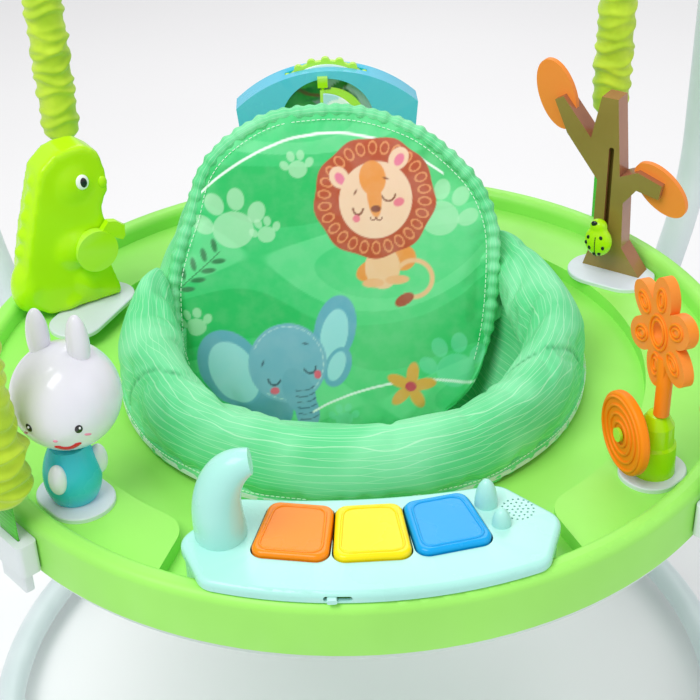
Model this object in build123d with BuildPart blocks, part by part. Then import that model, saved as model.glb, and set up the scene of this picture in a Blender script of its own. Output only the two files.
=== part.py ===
"""Activity jumper: four C-shaped posts carry a round toy tray on springs, with a seat that turns in it.

Origin: centre of the footprint on the floor. +Z up, -Y towards the front, where the piano is.
Toy heights are given from the rim's top, as every toy stands on the tray.
"""
from build123d import *
from math import cos, degrees, radians, sin, sqrt
import os

# ---------------------------------------------------------------- driving dimensions, mm
RIM_HEIGHT = 420          # rim top above the floor, springs at rest
RIM_R = 335               # tray outside radius
RIM_WIDTH = 18            # rolled rim, outer skirt to inner wall
SKIRT_DEPTH = 44          # height of the rim's outer skirt
SHELL = 3                 # moulded wall
LEDGE_DROP = 17           # rim top down to the toy ledge
FLOOR_DROP = 30           # rim top down to the ring round the seat and under the piano
LEDGE_R = 253             # step between the ledge and the lower ring
BAY_HALF_BACK = 130       # piano bay, half width where it leaves the lower ring
BAY_HALF_FRONT = 176      # piano bay, half width at the rim
BAY_BACK_Y = 200          # where the bay's sides start to splay
BAY_ROUND = 26            # rounding of the bay's mouth
BOWL_DEPTH = 66           # rim top down to the underside shell
SEAT_HOLE_R = 178         # hole in the tray for the seat
LEDGE_Z = RIM_HEIGHT - LEDGE_DROP
FLOOR_Z = RIM_HEIGHT - FLOOR_DROP

CORNERS = {"rear_right": 40, "rear_left": 140, "front_left": 220, "front_right": 320}
TUBE_R = 16               # post tube
BASE_TUBE_R = 14          # floor tube
TUBE_WALL = 1.5
BASE_R = 356              # floor ring, tube centre
BASE_TUBE_Z = 26
POST_FOOT = (354, 44)     # post centre line, (radius, height)
POST_WAIST = (505, 396)
POST_SHOULDER = (505, 800)
POST_TIP_R = 352
POST_WAIST_BEND = 300
POST_SHOULDER_BEND = 128
FOOT_SIZE = (84, 76, 58)  # radial, across, height
PAD_THICKNESS = 4
CAP_SIZE = (52, 46, 57)

STRAP_R = 345             # webbing, from the tray's axis
STRAP_WIDTH = 25
STRAP_THICKNESS = 1.6
STRAP_TOP = 170           # above the rim
STRAP_TAIL = 62           # below the rim
HOOK_HEIGHT = 14
SPRING_LENGTH = 158
SPRING_COIL_R = 10
SPRING_WIRE_R = 1.6
SPRING_TURNS = 18
COVER_R = 18
COVER_WALL = 2.5
COVER_DROP = {"rear_right": 110, "rear_left": 110, "front_left": 22, "front_right": 44}

SEAT_TURN = 6             # the seat rests turned by this much
SEAT_RING_R = 202
SEAT_RING_INNER_R = 170
BOLSTER_R = 208
BOLSTER_INNER_R = 142
BOLSTER_HEIGHT = 62
BACK_HALF_ANGLE = 50
BACK_R = 206
BACK_THICKNESS = 32
BACK_TOP = 152
BUCKET_TOP_R = 166
BUCKET_BOTTOM_R = 92
BUCKET_DEPTH = 190
FABRIC = 3
LEG_HOLE_R = 44

PIANO_BACK_R = 228        # back edge of the piano at its middle
PIANO_FRONT_R = 331
PIANO_TOP = 9             # above the rim
PIANO_WALL = 2.5
KEY_R = 269               # centre of the keys from the tray's axis
KEY_LENGTH = 58
KEY_WIDTHS = (47, 56)     # at the hinge, at the player's edge
KEY_STEP = 11.4           # degrees from key to key
KEY_GAP = 1.2
KEY_RISE = 4              # key top above the piano's top
KEY_SPRING_GAP = 1.8      # free play between a key and its spring, taken up when the key is pressed
KEYS = {"key_orange": -1, "key_yellow": 0, "key_blue": 1}

PLATE = 4                 # thickness of the inserts that the toys stand on
PLATE_TOP = PLATE - LEDGE_DROP
CLEAR = 0.3               # gap between pieces that move past each other
FIT = 0.05                # radial gap round an axle

os.makedirs("parts", exist_ok=True)


def save(piece, name):
    """Label a finished piece and write it as its own STEP file."""
    piece.label = name
    export_step(piece, f"parts/{name}.step")
    print(f"{name:22s} {len(piece.solids()):3d} solids {piece.volume / 1000:9.1f} cm3")


def radial_plane(azimuth):
    """Plane through the tray's axis: x runs outwards, y runs up."""
    a = radians(azimuth)
    return Plane(origin=(0, 0, 0), x_dir=(cos(a), sin(a), 0), z_dir=(sin(a), -cos(a), 0))


def polar_point(radius, azimuth, height=0.0):
    a = radians(azimuth)
    return (radius * cos(a), radius * sin(a), height)


def level_plane(radius, azimuth, height):
    """Level plane at a polar place: x runs outwards, y across."""
    a = radians(azimuth)
    return Plane(origin=polar_point(radius, azimuth, height), x_dir=(cos(a), sin(a), 0), z_dir=(0, 0, 1))


def toy_plane(x, y, heading, forward=0.0):
    """Upright plane of a toy at rim height: x runs across along heading, y up, z towards the viewer."""
    a = radians(heading)
    out = (sin(a), -cos(a))
    origin = (x + out[0] * forward, y + out[1] * forward, RIM_HEIGHT)
    return Plane(origin=origin, x_dir=(cos(a), sin(a), 0), z_dir=(out[0], out[1], 0))


def egg(x, y, z, radius, half_height):
    """Solid upright ellipsoid centred at x, y, z."""
    with BuildPart() as shape:
        with BuildSketch(Plane(origin=(x, y, z), x_dir=(1, 0, 0), z_dir=(0, -1, 0))):
            with BuildLine():
                arc = EllipticalCenterArc((0, 0), radius, half_height, start_angle=-90, arc_size=180)
                Line(arc @ 1, arc @ 0)
            make_face()
        revolve(axis=Axis((x, y, z), (0, 0, 1)))
    return shape.part


# ================================================================ frame on the floor
def post_line(azimuth):
    with BuildLine(radial_plane(azimuth)) as line:
        FilletPolyline(POST_FOOT, POST_WAIST, POST_SHOULDER, (POST_TIP_R, POST_SHOULDER[1]),
                       radius=[POST_WAIST_BEND, POST_SHOULDER_BEND])
    return line.line


def tube_along(line, radius, wall):
    with BuildPart() as tube:
        with BuildSketch(Plane(origin=line @ 0, z_dir=line % 0)):
            Circle(radius)
            if wall:
                Circle(radius - wall, mode=Mode.SUBTRACT)
        sweep(path=line)
    return tube.part


def floor_arc(start, end):
    with BuildLine(Plane.XY.offset(BASE_TUBE_Z)) as line:
        CenterArc((0, 0), BASE_R, start, end - start)
    return line.line


posts = {corner: tube_along(post_line(azimuth), TUBE_R, TUBE_WALL) for corner, azimuth in CORNERS.items()}
for corner, post in posts.items():
    save(post, f"post_{corner}")

TUBE_END = 0.3 * degrees(FOOT_SIZE[1] / 2 / BASE_R)   # angle from a post's plane to the floor tube's end
floor_tubes = {
    "base_tubes_long": [(140, 220), (-40, 40)],
    "base_tubes_wide": [(40, 140), (220, 320)],
}
for name, spans in floor_tubes.items():
    tubes = [tube_along(floor_arc(a + TUBE_END, b - TUBE_END), BASE_TUBE_R, TUBE_WALL)
             for a, b in spans]
    save(Compound(children=tubes), name)

feet, pads, caps, pins = [], [], [], []
for corner, azimuth in CORNERS.items():
    solid_post = tube_along(post_line(azimuth), TUBE_R, 0)
    with BuildPart() as foot:
        with BuildSketch(level_plane(BASE_R, azimuth, PAD_THICKNESS)):
            RectangleRounded(FOOT_SIZE[0], FOOT_SIZE[1], 22)
        extrude(amount=FOOT_SIZE[2], taper=7)
        fillet(foot.faces().sort_by(Axis.Z)[-1].edges(), 8)
        add(tube_along(floor_arc(azimuth + TUBE_END, azimuth + 20), BASE_TUBE_R, 0), mode=Mode.SUBTRACT)
        add(tube_along(floor_arc(azimuth - 20, azimuth - TUBE_END), BASE_TUBE_R, 0), mode=Mode.SUBTRACT)
        add(solid_post, mode=Mode.SUBTRACT)
    feet.append(foot.part.solids().sort_by(SortBy.VOLUME)[-1])

    with BuildPart() as pad:
        with BuildSketch(level_plane(BASE_R, azimuth, 0)):
            RectangleRounded(FOOT_SIZE[0] - 10, FOOT_SIZE[1] - 10, 18)
        extrude(amount=PAD_THICKNESS)
    pads.append(pad.part)

    cap_low = RIM_HEIGHT + STRAP_TOP + HOOK_HEIGHT + SPRING_LENGTH + 6
    with BuildPart() as cap:
        with BuildSketch(level_plane(STRAP_R + 6, azimuth, cap_low)):
            RectangleRounded(CAP_SIZE[0], CAP_SIZE[1], 16)
        extrude(amount=CAP_SIZE[2])
        fillet(cap.faces().sort_by(Axis.Z)[-1].edges(), 12)
        with BuildSketch(level_plane(STRAP_R, azimuth, cap_low)):
            Circle(SPRING_COIL_R + 3.5)
        extrude(amount=12, mode=Mode.SUBTRACT)
        add(solid_post, mode=Mode.SUBTRACT)
        with BuildSketch(Plane(origin=polar_point(STRAP_R, azimuth, cap_low + 6),
                               z_dir=(-sin(radians(azimuth)), cos(radians(azimuth)), 0))):
            Circle(3 + FIT)
        extrude(amount=17, both=True, mode=Mode.SUBTRACT)
    caps.append(cap.part.solids().sort_by(SortBy.VOLUME)[-1])

    with BuildPart() as pin:
        with BuildSketch(Plane(origin=polar_point(STRAP_R, azimuth, cap_low + 6),
                               z_dir=(-sin(radians(azimuth)), cos(radians(azimuth)), 0))):
            Circle(3)
        extrude(amount=16.5, both=True)
    pins.append(pin.part)
save(Compound(children=feet), "foot_housings")
save(Compound(children=pads), "foot_pads")
save(Compound(children=caps), "post_caps")
save(Compound(children=pins), "spring_pins")

# ================================================================ springs, sleeves and webbing
springs, covers, straps, hooks, adjusters, brackets = [], [], [], [], [], []
spring_foot = RIM_HEIGHT + STRAP_TOP + HOOK_HEIGHT + 1
for corner, azimuth in CORNERS.items():
    with BuildPart() as spring:
        with BuildLine():
            coil = Helix(SPRING_LENGTH / SPRING_TURNS, SPRING_LENGTH, SPRING_COIL_R,
                         center=polar_point(STRAP_R, azimuth, spring_foot + SPRING_WIRE_R))
        with BuildSketch(Plane(origin=coil @ 0, z_dir=coil % 0)):
            Circle(SPRING_WIRE_R)
        sweep(path=coil, is_frenet=True)
    springs.append(spring.part)

    cover_low = RIM_HEIGHT + COVER_DROP[corner]
    with BuildPart() as cover:
        with BuildSketch(level_plane(STRAP_R, azimuth, cover_low)):
            Circle(COVER_R)
            Circle(COVER_R - COVER_WALL, mode=Mode.SUBTRACT)
        extrude(amount=cap_low - CLEAR - cover_low)
    covers.append(cover.part)

    with BuildPart() as strap:
        with BuildSketch(level_plane(STRAP_R, azimuth, RIM_HEIGHT - STRAP_TAIL)):
            Rectangle(STRAP_THICKNESS, STRAP_WIDTH)
        extrude(amount=STRAP_TAIL + STRAP_TOP)
    straps.append(strap.part)

    with BuildPart() as hook:
        with BuildSketch(level_plane(STRAP_R, azimuth, RIM_HEIGHT + STRAP_TOP)):
            RectangleRounded(3, 22, 1.2)
        extrude(amount=HOOK_HEIGHT)
        with BuildSketch(Plane(origin=polar_point(STRAP_R - 5, azimuth, RIM_HEIGHT + STRAP_TOP + 8),
                               z_dir=polar_point(1, azimuth))):
            SlotOverall(14, 5)
        extrude(amount=10, mode=Mode.SUBTRACT)
    hooks.append(hook.part)

    with BuildPart() as bracket:
        with BuildSketch(level_plane(RIM_R + 8.5, azimuth, RIM_HEIGHT - 40)):
            RectangleRounded(17, 44, 4)
        extrude(amount=28)
        with BuildSketch(level_plane(STRAP_R, azimuth, RIM_HEIGHT - 41)):
            Rectangle(STRAP_THICKNESS + 2 * CLEAR, STRAP_WIDTH + 4 * CLEAR)
        extrude(amount=30, mode=Mode.SUBTRACT)
    brackets.append(bracket.part)

    with BuildPart() as adjuster:
        with BuildSketch(level_plane(STRAP_R, azimuth, RIM_HEIGHT - STRAP_TAIL + 4)):
            RectangleRounded(8, 34, 2)
            Rectangle(STRAP_THICKNESS + 0.1, STRAP_WIDTH + 0.1, mode=Mode.SUBTRACT)
        extrude(amount=15)
    adjusters.append(adjuster.part)
save(Compound(children=springs), "bounce_springs")
save(Compound(children=covers), "spring_sleeves")
save(Compound(children=straps), "webbing_straps")
save(Compound(children=hooks), "strap_hooks")
save(Compound(children=brackets), "rim_brackets")
save(Compound(children=adjusters), "strap_adjusters")

# ================================================================ tray
SCREW_AZIMUTHS = [22.5 + 45 * i for i in range(8)]
SCREW_R = 205
RIM_INNER_R = RIM_R - RIM_WIDTH


def lower_floor(grow=0.0):
    """Outline of the tray's lower level: the ring round the seat, opening into the piano bay."""
    with BuildSketch(mode=Mode.PRIVATE) as outline:
        Circle(LEDGE_R)
        with BuildLine():
            Polyline((-BAY_HALF_BACK, 0), (-BAY_HALF_BACK, -BAY_BACK_Y), (-BAY_HALF_FRONT, -RIM_R),
                     (BAY_HALF_FRONT, -RIM_R), (BAY_HALF_BACK, -BAY_BACK_Y), (BAY_HALF_BACK, 0), close=True)
        make_face()
        offset(amount=BAY_ROUND + grow, kind=Kind.ARC)
        offset(amount=-BAY_ROUND, kind=Kind.ARC)
        Circle(RIM_INNER_R + 1, mode=Mode.INTERSECT)
    return outline.sketch


with BuildPart() as tray_top:
    with BuildSketch(Plane.XZ):
        with BuildLine():
            Polyline((RIM_R, -SKIRT_DEPTH), (RIM_R, 0), (RIM_INNER_R, 0), (RIM_INNER_R, -FLOOR_DROP - SHELL),
                     (RIM_INNER_R + SHELL, -FLOOR_DROP - SHELL), (RIM_INNER_R + SHELL, -SHELL),
                     (RIM_R - SHELL, -SHELL), (RIM_R - SHELL, -SKIRT_DEPTH), close=True)
        rim_face = make_face()
        top_corners = rim_face.vertices().sort_by(Axis.Y)[-2:]
        fillet(top_corners, 7)
    revolve(axis=Axis.Z)
    with BuildSketch(Plane.XY.offset(-LEDGE_DROP - SHELL)):
        Circle(RIM_INNER_R + 1)
        add(lower_floor(), mode=Mode.SUBTRACT)
    extrude(amount=SHELL)
    with BuildSketch(Plane.XY.offset(-FLOOR_DROP - SHELL)):
        add(lower_floor(SHELL))
        add(lower_floor(), mode=Mode.SUBTRACT)
    extrude(amount=FLOOR_DROP + SHELL - LEDGE_DROP)
    with BuildSketch(Plane.XY.offset(-FLOOR_DROP - SHELL)):
        add(lower_floor(1))
        Circle(SEAT_HOLE_R, mode=Mode.SUBTRACT)
    extrude(amount=SHELL)
    with BuildSketch(Plane.XY.offset(-BOWL_DEPTH + SHELL)):
        Circle(SEAT_HOLE_R + SHELL)
        Circle(SEAT_HOLE_R, mode=Mode.SUBTRACT)
        with PolarLocations(SCREW_R, 8, start_angle=22.5):
            Circle(5)
    extrude(amount=BOWL_DEPTH - SHELL - FLOOR_DROP - SHELL)
    with BuildSketch(Plane.XY.offset(-BOWL_DEPTH + SHELL)):
        with PolarLocations(SCREW_R, 8, start_angle=22.5):
            Circle(2 + FIT)
    extrude(amount=18, mode=Mode.SUBTRACT)
save(Location((0, 0, RIM_HEIGHT)) * tray_top.part, "tray_top")

with BuildPart() as tray_bottom:
    skin = RIM_R - SHELL - CLEAR
    with BuildSketch(Plane.XZ):
        with BuildLine():
            Polyline((skin, -SKIRT_DEPTH + 8), (skin, -SKIRT_DEPTH - 6), (skin - 30, -BOWL_DEPTH),
                     (SEAT_HOLE_R, -BOWL_DEPTH), (SEAT_HOLE_R, -BOWL_DEPTH + SHELL),
                     (skin - 31.5, -BOWL_DEPTH + SHELL), (skin - SHELL, -SKIRT_DEPTH - 4.5),
                     (skin - SHELL, -SKIRT_DEPTH + 8), close=True)
        make_face()
    revolve(axis=Axis.Z)
    with BuildSketch(Plane.XY.offset(-BOWL_DEPTH)):
        with PolarLocations(SCREW_R, 8, start_angle=22.5):
            Circle(2.4)
    extrude(amount=SHELL, mode=Mode.SUBTRACT)
save(Location((0, 0, RIM_HEIGHT)) * tray_bottom.part, "tray_bottom")

screws = []
for azimuth in SCREW_AZIMUTHS:
    with BuildPart() as screw:
        with BuildSketch(level_plane(SCREW_R, azimuth, RIM_HEIGHT - BOWL_DEPTH - 2.4)):
            Circle(4)
        extrude(amount=2.4)
        with BuildSketch(level_plane(SCREW_R, azimuth, RIM_HEIGHT - BOWL_DEPTH - 2.4)):
            Circle(2)
        extrude(amount=2.4 + SHELL + 15)
        with BuildSketch(level_plane(SCREW_R, azimuth, RIM_HEIGHT - BOWL_DEPTH - 2.4)):
            Rectangle(4.6, 0.9)
            Rectangle(0.9, 4.6)
        extrude(amount=1.4, mode=Mode.SUBTRACT)
    screws.append(screw.part)
save(Compound(children=screws), "tray_screws")

rollers = []
ROLLER_R = 2.8
for azimuth in range(15, 360, 60):
    with BuildPart() as roller:
        with BuildSketch(Plane(origin=polar_point(184, azimuth, FLOOR_Z + ROLLER_R + 0.1),
                               z_dir=polar_point(1, azimuth))):
            Circle(ROLLER_R)
            Circle(0.9, mode=Mode.SUBTRACT)
        extrude(amount=11)
    rollers.append(roller.part)
save(Compound(children=rollers), "seat_rollers")

# ================================================================ seat, turned a little at rest
SEAT_BACK_AZIMUTH = 90 + SEAT_TURN
SEAT_RING_Z = FLOOR_Z + 2 * ROLLER_R + 0.3


def seat_sector(inner, outer, low, high, start, sweep):
    """Part of an upright ring, in the seat's own turn."""
    with BuildPart() as ring:
        with BuildSketch(Plane.XY.offset(low)):
            with BuildLine():
                far = CenterArc((0, 0), outer, SEAT_BACK_AZIMUTH + start, sweep)
                near = CenterArc((0, 0), inner, SEAT_BACK_AZIMUTH + start, sweep)
                Line(far @ 0, near @ 0)
                Line(far @ 1, near @ 1)
            make_face()
        extrude(amount=high - low)
    return ring.part


with BuildPart() as seat_ring:
    with BuildSketch(Plane.XY.offset(SEAT_RING_Z)):
        Circle(SEAT_RING_R)
        Circle(SEAT_RING_INNER_R, mode=Mode.SUBTRACT)
    extrude(amount=4)
    with BuildSketch(Plane.XY.offset(RIM_HEIGHT - BOWL_DEPTH - 8)):
        Circle(SEAT_RING_INNER_R + SHELL)
        Circle(SEAT_RING_INNER_R, mode=Mode.SUBTRACT)
    extrude(until=Until.NEXT)
save(seat_ring.part, "seat_ring")

SEAT_PAD_Z = SEAT_RING_Z + 4
with BuildPart() as bolster:
    add(seat_sector(BOLSTER_INNER_R, BOLSTER_R, SEAT_PAD_Z, SEAT_PAD_Z + BOLSTER_HEIGHT,
                    BACK_HALF_ANGLE + 0.6, 360 - 2 * (BACK_HALF_ANGLE + 0.6)))
    fillet(bolster.faces().sort_by(Axis.Z)[-1].edges().filter_by(GeomType.CIRCLE), 22)
save(bolster.part, "seat_bolster")

half_width = BACK_R * sin(radians(BACK_HALF_ANGLE)) + 2
front_view = Plane(origin=(0, 0, RIM_HEIGHT), x_dir=polar_point(1, SEAT_TURN),
                   z_dir=polar_point(1, SEAT_TURN - 90))
with BuildPart() as back:
    add(seat_sector(BACK_R - BACK_THICKNESS, BACK_R, SEAT_PAD_Z, RIM_HEIGHT + BACK_TOP,
                    -BACK_HALF_ANGLE, 2 * BACK_HALF_ANGLE))
    with BuildSketch(front_view):
        with BuildLine():
            Polyline((half_width, 30), (half_width, -FLOOR_DROP), (-half_width, -FLOOR_DROP), (-half_width, 30))
            EllipticalCenterArc((0, 30), half_width, BACK_TOP - 30, start_angle=0, arc_size=180)
        make_face()
    extrude(amount=-BACK_R - 10, mode=Mode.INTERSECT)
save(back.part, "seat_back")

with BuildPart() as bucket:
    top = SEAT_PAD_Z
    floor = RIM_HEIGHT - BUCKET_DEPTH
    with BuildSketch(Plane.XZ):
        with BuildLine():
            Polyline((BUCKET_TOP_R, top), (BUCKET_TOP_R, top - 40), (BUCKET_BOTTOM_R, floor), (0, floor),
                     (0, floor + FABRIC), (BUCKET_BOTTOM_R - 2, floor + FABRIC),
                     (BUCKET_TOP_R - FABRIC, top - 40), (BUCKET_TOP_R - FABRIC, top), close=True)
        make_face()
    revolve(axis=Axis.Z)
    for side in (-1, 1):
        leg_axis = polar_point(1, SEAT_TURN - 90 + side * 38, -0.25)
        with BuildSketch(Plane(origin=(0, 0, floor + 62), z_dir=leg_axis)):
            Circle(LEG_HOLE_R)
        extrude(amount=200, mode=Mode.SUBTRACT)
save(bucket.part, "seat_bucket")

# ================================================================ piano
KEY_HINGE_R = KEY_R - KEY_LENGTH / 2 + 4
SPEAKER = (107, -251)
BATTERY_BAY = (66, 50)
BATTERY_BAY_Y = -262
top_z = RIM_HEIGHT + PIANO_TOP
case_top = RIM_HEIGHT + 1
key_top = top_z + KEY_RISE


def piano_outline(grow=0.0):
    with BuildSketch(mode=Mode.PRIVATE) as outline:
        with BuildLine():
            back_edge = ThreePointArc((-98, -219), (0, -PIANO_BACK_R), (98, -219))
            right_end = Polyline(back_edge @ 1, (138, -262), (121, -308))
            front = ThreePointArc(right_end @ 1, (0, -PIANO_FRONT_R), (-119, -309))
            Polyline(front @ 1, (-137, -264), back_edge @ 0)
        make_face()
        fillet(outline.vertices(), 17)
        if grow:
            offset(amount=grow)
    return outline.sketch


def key_outline(place, grow=0.0):
    """Fan-shaped key, narrow at its hinge, turned to its place round the tray."""
    half = KEY_LENGTH / 2 + grow
    near, far = (w / 2 + grow for w in KEY_WIDTHS)
    with BuildSketch(mode=Mode.PRIVATE) as outline:
        with BuildLine():
            Polyline((-near, -KEY_R + half), (near, -KEY_R + half), (far, -KEY_R - half),
                     (-far, -KEY_R - half), close=True)
        make_face()
        fillet(outline.vertices(), 9 + grow)
    return Rot(0, 0, place * KEY_STEP) * outline.sketch


with BuildPart() as piano_case:
    with BuildSketch(Plane.XY.offset(FLOOR_Z)):
        add(piano_outline(-2))
        Circle(RIM_INNER_R - 1, mode=Mode.INTERSECT)
    extrude(amount=case_top - FLOOR_Z)
    with BuildSketch(Plane.XY.offset(FLOOR_Z + PIANO_WALL)):
        add(piano_outline(-2 - PIANO_WALL))
        Circle(RIM_INNER_R - 1 - PIANO_WALL, mode=Mode.INTERSECT)
    extrude(amount=40, mode=Mode.SUBTRACT)
    with BuildSketch(Plane.XY.offset(FLOOR_Z)):
        with Locations((0, BATTERY_BAY_Y)):
            RectangleRounded(*BATTERY_BAY, 4)
    extrude(amount=PIANO_WALL, mode=Mode.SUBTRACT)
save(piano_case.part, "piano_case")

with BuildPart() as battery_door:
    with BuildSketch(Plane.XY.offset(FLOOR_Z)):
        with Locations((0, BATTERY_BAY_Y)):
            RectangleRounded(BATTERY_BAY[0] - 2 * CLEAR, BATTERY_BAY[1] - 2 * CLEAR, 4 - CLEAR)
    extrude(amount=PIANO_WALL)
save(battery_door.part, "battery_door")

SWITCH = (-26, -PIANO_FRONT_R, RIM_HEIGHT + 4.4)
with BuildPart() as piano_top:
    with BuildSketch(Plane.XY.offset(case_top)):
        add(piano_outline())
    extrude(amount=top_z - case_top)
    fillet(piano_top.faces().sort_by(Axis.Z)[-1].edges(), 4)
    with BuildSketch(Plane.XY.offset(case_top)):
        add(piano_outline(-PIANO_WALL - 1))
    extrude(amount=top_z - case_top - PIANO_WALL, mode=Mode.SUBTRACT)
    with BuildSketch(Plane.XY.offset(case_top)):
        for place in KEYS.values():
            add(key_outline(place, KEY_GAP))
    extrude(amount=20, mode=Mode.SUBTRACT)
    with BuildSketch(Plane.XY.offset(case_top)):
        with Locations(SPEAKER):
            Circle(0.9)
            for ring, count in ((3.8, 6), (7.6, 12), (11.4, 18)):
                with PolarLocations(ring, count):
                    Circle(0.9)
    extrude(amount=20, mode=Mode.SUBTRACT)
    with BuildSketch(Plane(origin=(SWITCH[0], SWITCH[1] + 10, SWITCH[2]), x_dir=(1, 0, 0), z_dir=(0, -1, 0))):
        SlotOverall(20, 4.2)
    extrude(amount=14, mode=Mode.SUBTRACT)
save(piano_top.part, "piano_top")

with BuildPart() as switch_knob:
    with BuildSketch(Plane(origin=(SWITCH[0] - 4, SWITCH[1] + 7, SWITCH[2]), x_dir=(1, 0, 0), z_dir=(0, -1, 0))):
        RectangleRounded(7, 3.4, 1.5)
    extrude(amount=9)
save(switch_knob.part, "switch_knob")

for name, place in KEYS.items():
    azimuth = 270 + place * KEY_STEP
    with BuildPart() as key:
        with BuildSketch(Plane.XY.offset(RIM_HEIGHT + 0.5)):
            add(key_outline(place))
        extrude(amount=key_top - RIM_HEIGHT - 0.5)
        fillet(key.faces().sort_by(Axis.Z)[-1].edges(), 3)
        with BuildSketch(Plane.XY.offset(RIM_HEIGHT + 0.5)):
            add(key_outline(place, -2.2))
        extrude(amount=key_top - RIM_HEIGHT - 3, mode=Mode.SUBTRACT)
        with BuildSketch(Plane(origin=polar_point(KEY_HINGE_R, azimuth, RIM_HEIGHT + 3),
                               z_dir=(-sin(radians(azimuth)), cos(radians(azimuth)), 0))):
            Circle(1.5)
        extrude(amount=KEY_WIDTHS[0] / 2 - 1, both=True)
    save(key.part, name)

key_springs, batteries = [], []
for place in KEYS.values():
    low, high = FLOOR_Z + 16.3, key_top - 3 - KEY_SPRING_GAP
    with BuildPart() as key_spring:
        with BuildLine():
            coil = Helix((high - low) / 6, high - low - 1, 3.4,
                         center=polar_point(KEY_R + 12, 270 + place * KEY_STEP, low + 0.5))
        with BuildSketch(Plane(origin=coil @ 0, z_dir=coil % 0)):
            Circle(0.4)
        sweep(path=coil, is_frenet=True)
    key_springs.append(key_spring.part)
save(Compound(children=key_springs), "key_springs")

with BuildPart() as piano_board:
    with BuildSketch(Plane.XY.offset(FLOOR_Z + 14.5)):
        with Locations((0, -283)):
            Rectangle(150, 26)
    extrude(amount=1.6)
save(piano_board.part, "piano_board")

CELL_R = 5.2
for x in (-20, 0, 20):
    with BuildPart() as cell:
        middle = FLOOR_Z + PIANO_WALL + CELL_R + 0.1
        with BuildSketch(Plane(origin=(x, BATTERY_BAY_Y + 21, middle), z_dir=(0, -1, 0))):
            Circle(CELL_R)
        extrude(amount=41)
        with BuildSketch(Plane(origin=(x, BATTERY_BAY_Y + 21, middle), z_dir=(0, -1, 0))):
            Circle(1.6)
        extrude(amount=42)
    batteries.append(cell.part)
save(Compound(children=batteries), "piano_batteries")

with BuildPart() as speaker:
    with BuildSketch(Plane.XY.offset(top_z - PIANO_WALL - 9)):
        with Locations(SPEAKER):
            Circle(8)
    extrude(amount=5)
    with BuildSketch(Plane.XY.offset(top_z - PIANO_WALL - 4)):
        with Locations(SPEAKER):
            Circle(10.5)
    extrude(amount=3)
save(speaker.part, "piano_speaker")

HUMP = [  # x, y, height above the rim, lean, half width, half depth
    (-106, -258, PIANO_TOP, 0, 19, 22), (-107, -260, 30, 2, 18, 21), (-104, -262, 52, 18, 16, 18),
    (-95, -264, 68, 42, 13.5, 14), (-81, -265, 75, 80, 9, 10)]
with BuildPart() as hump:
    for x, y, height, lean, half_x, half_y in HUMP:
        tilt = radians(lean)
        with BuildSketch(Plane(origin=(x, y, RIM_HEIGHT + height), x_dir=(cos(tilt), 0, -sin(tilt)),
                               z_dir=(sin(tilt), 0, cos(tilt)))):
            Ellipse(half_x, half_y)
    loft()
save(hump.part, "piano_hump")

domes = []
for x, y, radius, height in ((85, -243, 8.5, 22), (93, -266, 7, 13)):
    with BuildPart() as dome:
        add(egg(x, y, top_z, radius, height))
        split(bisect_by=Plane.XY.offset(top_z))
    domes.append(dome.part)
save(Compound(children=domes), "piano_domes")

# ================================================================ inserts under the toys
BUNNY = (-221, -178)
FLOWERS = (222, -184)
DINO = (-238, 102)
TREE = (254, 124)
PICTURE = (-8, 291)
PLATES = [  # place, heading, length, width
    (BUNNY, 130, 66, 52), (FLOWERS, 40, 54, 48), (DINO, 64, 104, 50), (TREE, -36, 84, 58), (PICTURE, 0, 140, 34)]
plates = []
for (x, y), heading, length, width in PLATES:
    with BuildPart() as plate:
        with BuildSketch(Plane(origin=(x, y, LEDGE_Z), x_dir=polar_point(1, heading), z_dir=(0, 0, 1))):
            RectangleRounded(length, width, width / 2 - 1)
        extrude(amount=PLATE)
        chamfer(plate.faces().sort_by(Axis.Z)[-1].edges(), 0.8)
        with BuildSketch(Plane.XY.offset(LEDGE_Z)):
            Circle(RIM_INNER_R - 2)
        extrude(amount=PLATE, mode=Mode.INTERSECT)
    plates.append(plate.part)
save(Compound(children=plates), "toy_plates")

# ================================================================ rabbit
bx, by = BUNNY
BUNNY_NECK = 34
HEAD = (bx + 4, by + 4, RIM_HEIGHT + 76)
HEAD_R = 41
with BuildPart() as bunny_body:
    with BuildSketch(Plane(origin=(bx, by, RIM_HEIGHT), x_dir=(1, 0, 0), z_dir=(0, -1, 0))):
        with BuildLine():
            Polyline((14, BUNNY_NECK), (0, BUNNY_NECK), (0, PLATE_TOP), (17, PLATE_TOP))
            Spline((17, PLATE_TOP), (22, 2), (20, 20), (14, BUNNY_NECK))
        make_face()
    revolve(axis=Axis((bx, by, 0), (0, 0, 1)))
    add(egg(*HEAD, HEAD_R, HEAD_R), mode=Mode.SUBTRACT)
save(bunny_body.part, "bunny_body")
with BuildPart() as bunny_head:
    neck_angle = 18
    with BuildSketch(Plane(origin=HEAD, x_dir=(1, 0, 0), z_dir=(0, -1, 0))):
        with BuildLine():
            skin = CenterArc((0, 0), HEAD_R, neck_angle - 90, 180 - neck_angle)
            inner = CenterArc((0, 0), HEAD_R - 2.5, neck_angle - 90, 180 - neck_angle)
            Line(skin @ 0, inner @ 0)
            Line(skin @ 1, inner @ 1)
        make_face()
    revolve(axis=Axis(HEAD, (0, 0, 1)))
save(bunny_head.part, "bunny_head")
ears, arms = [], []
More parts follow.
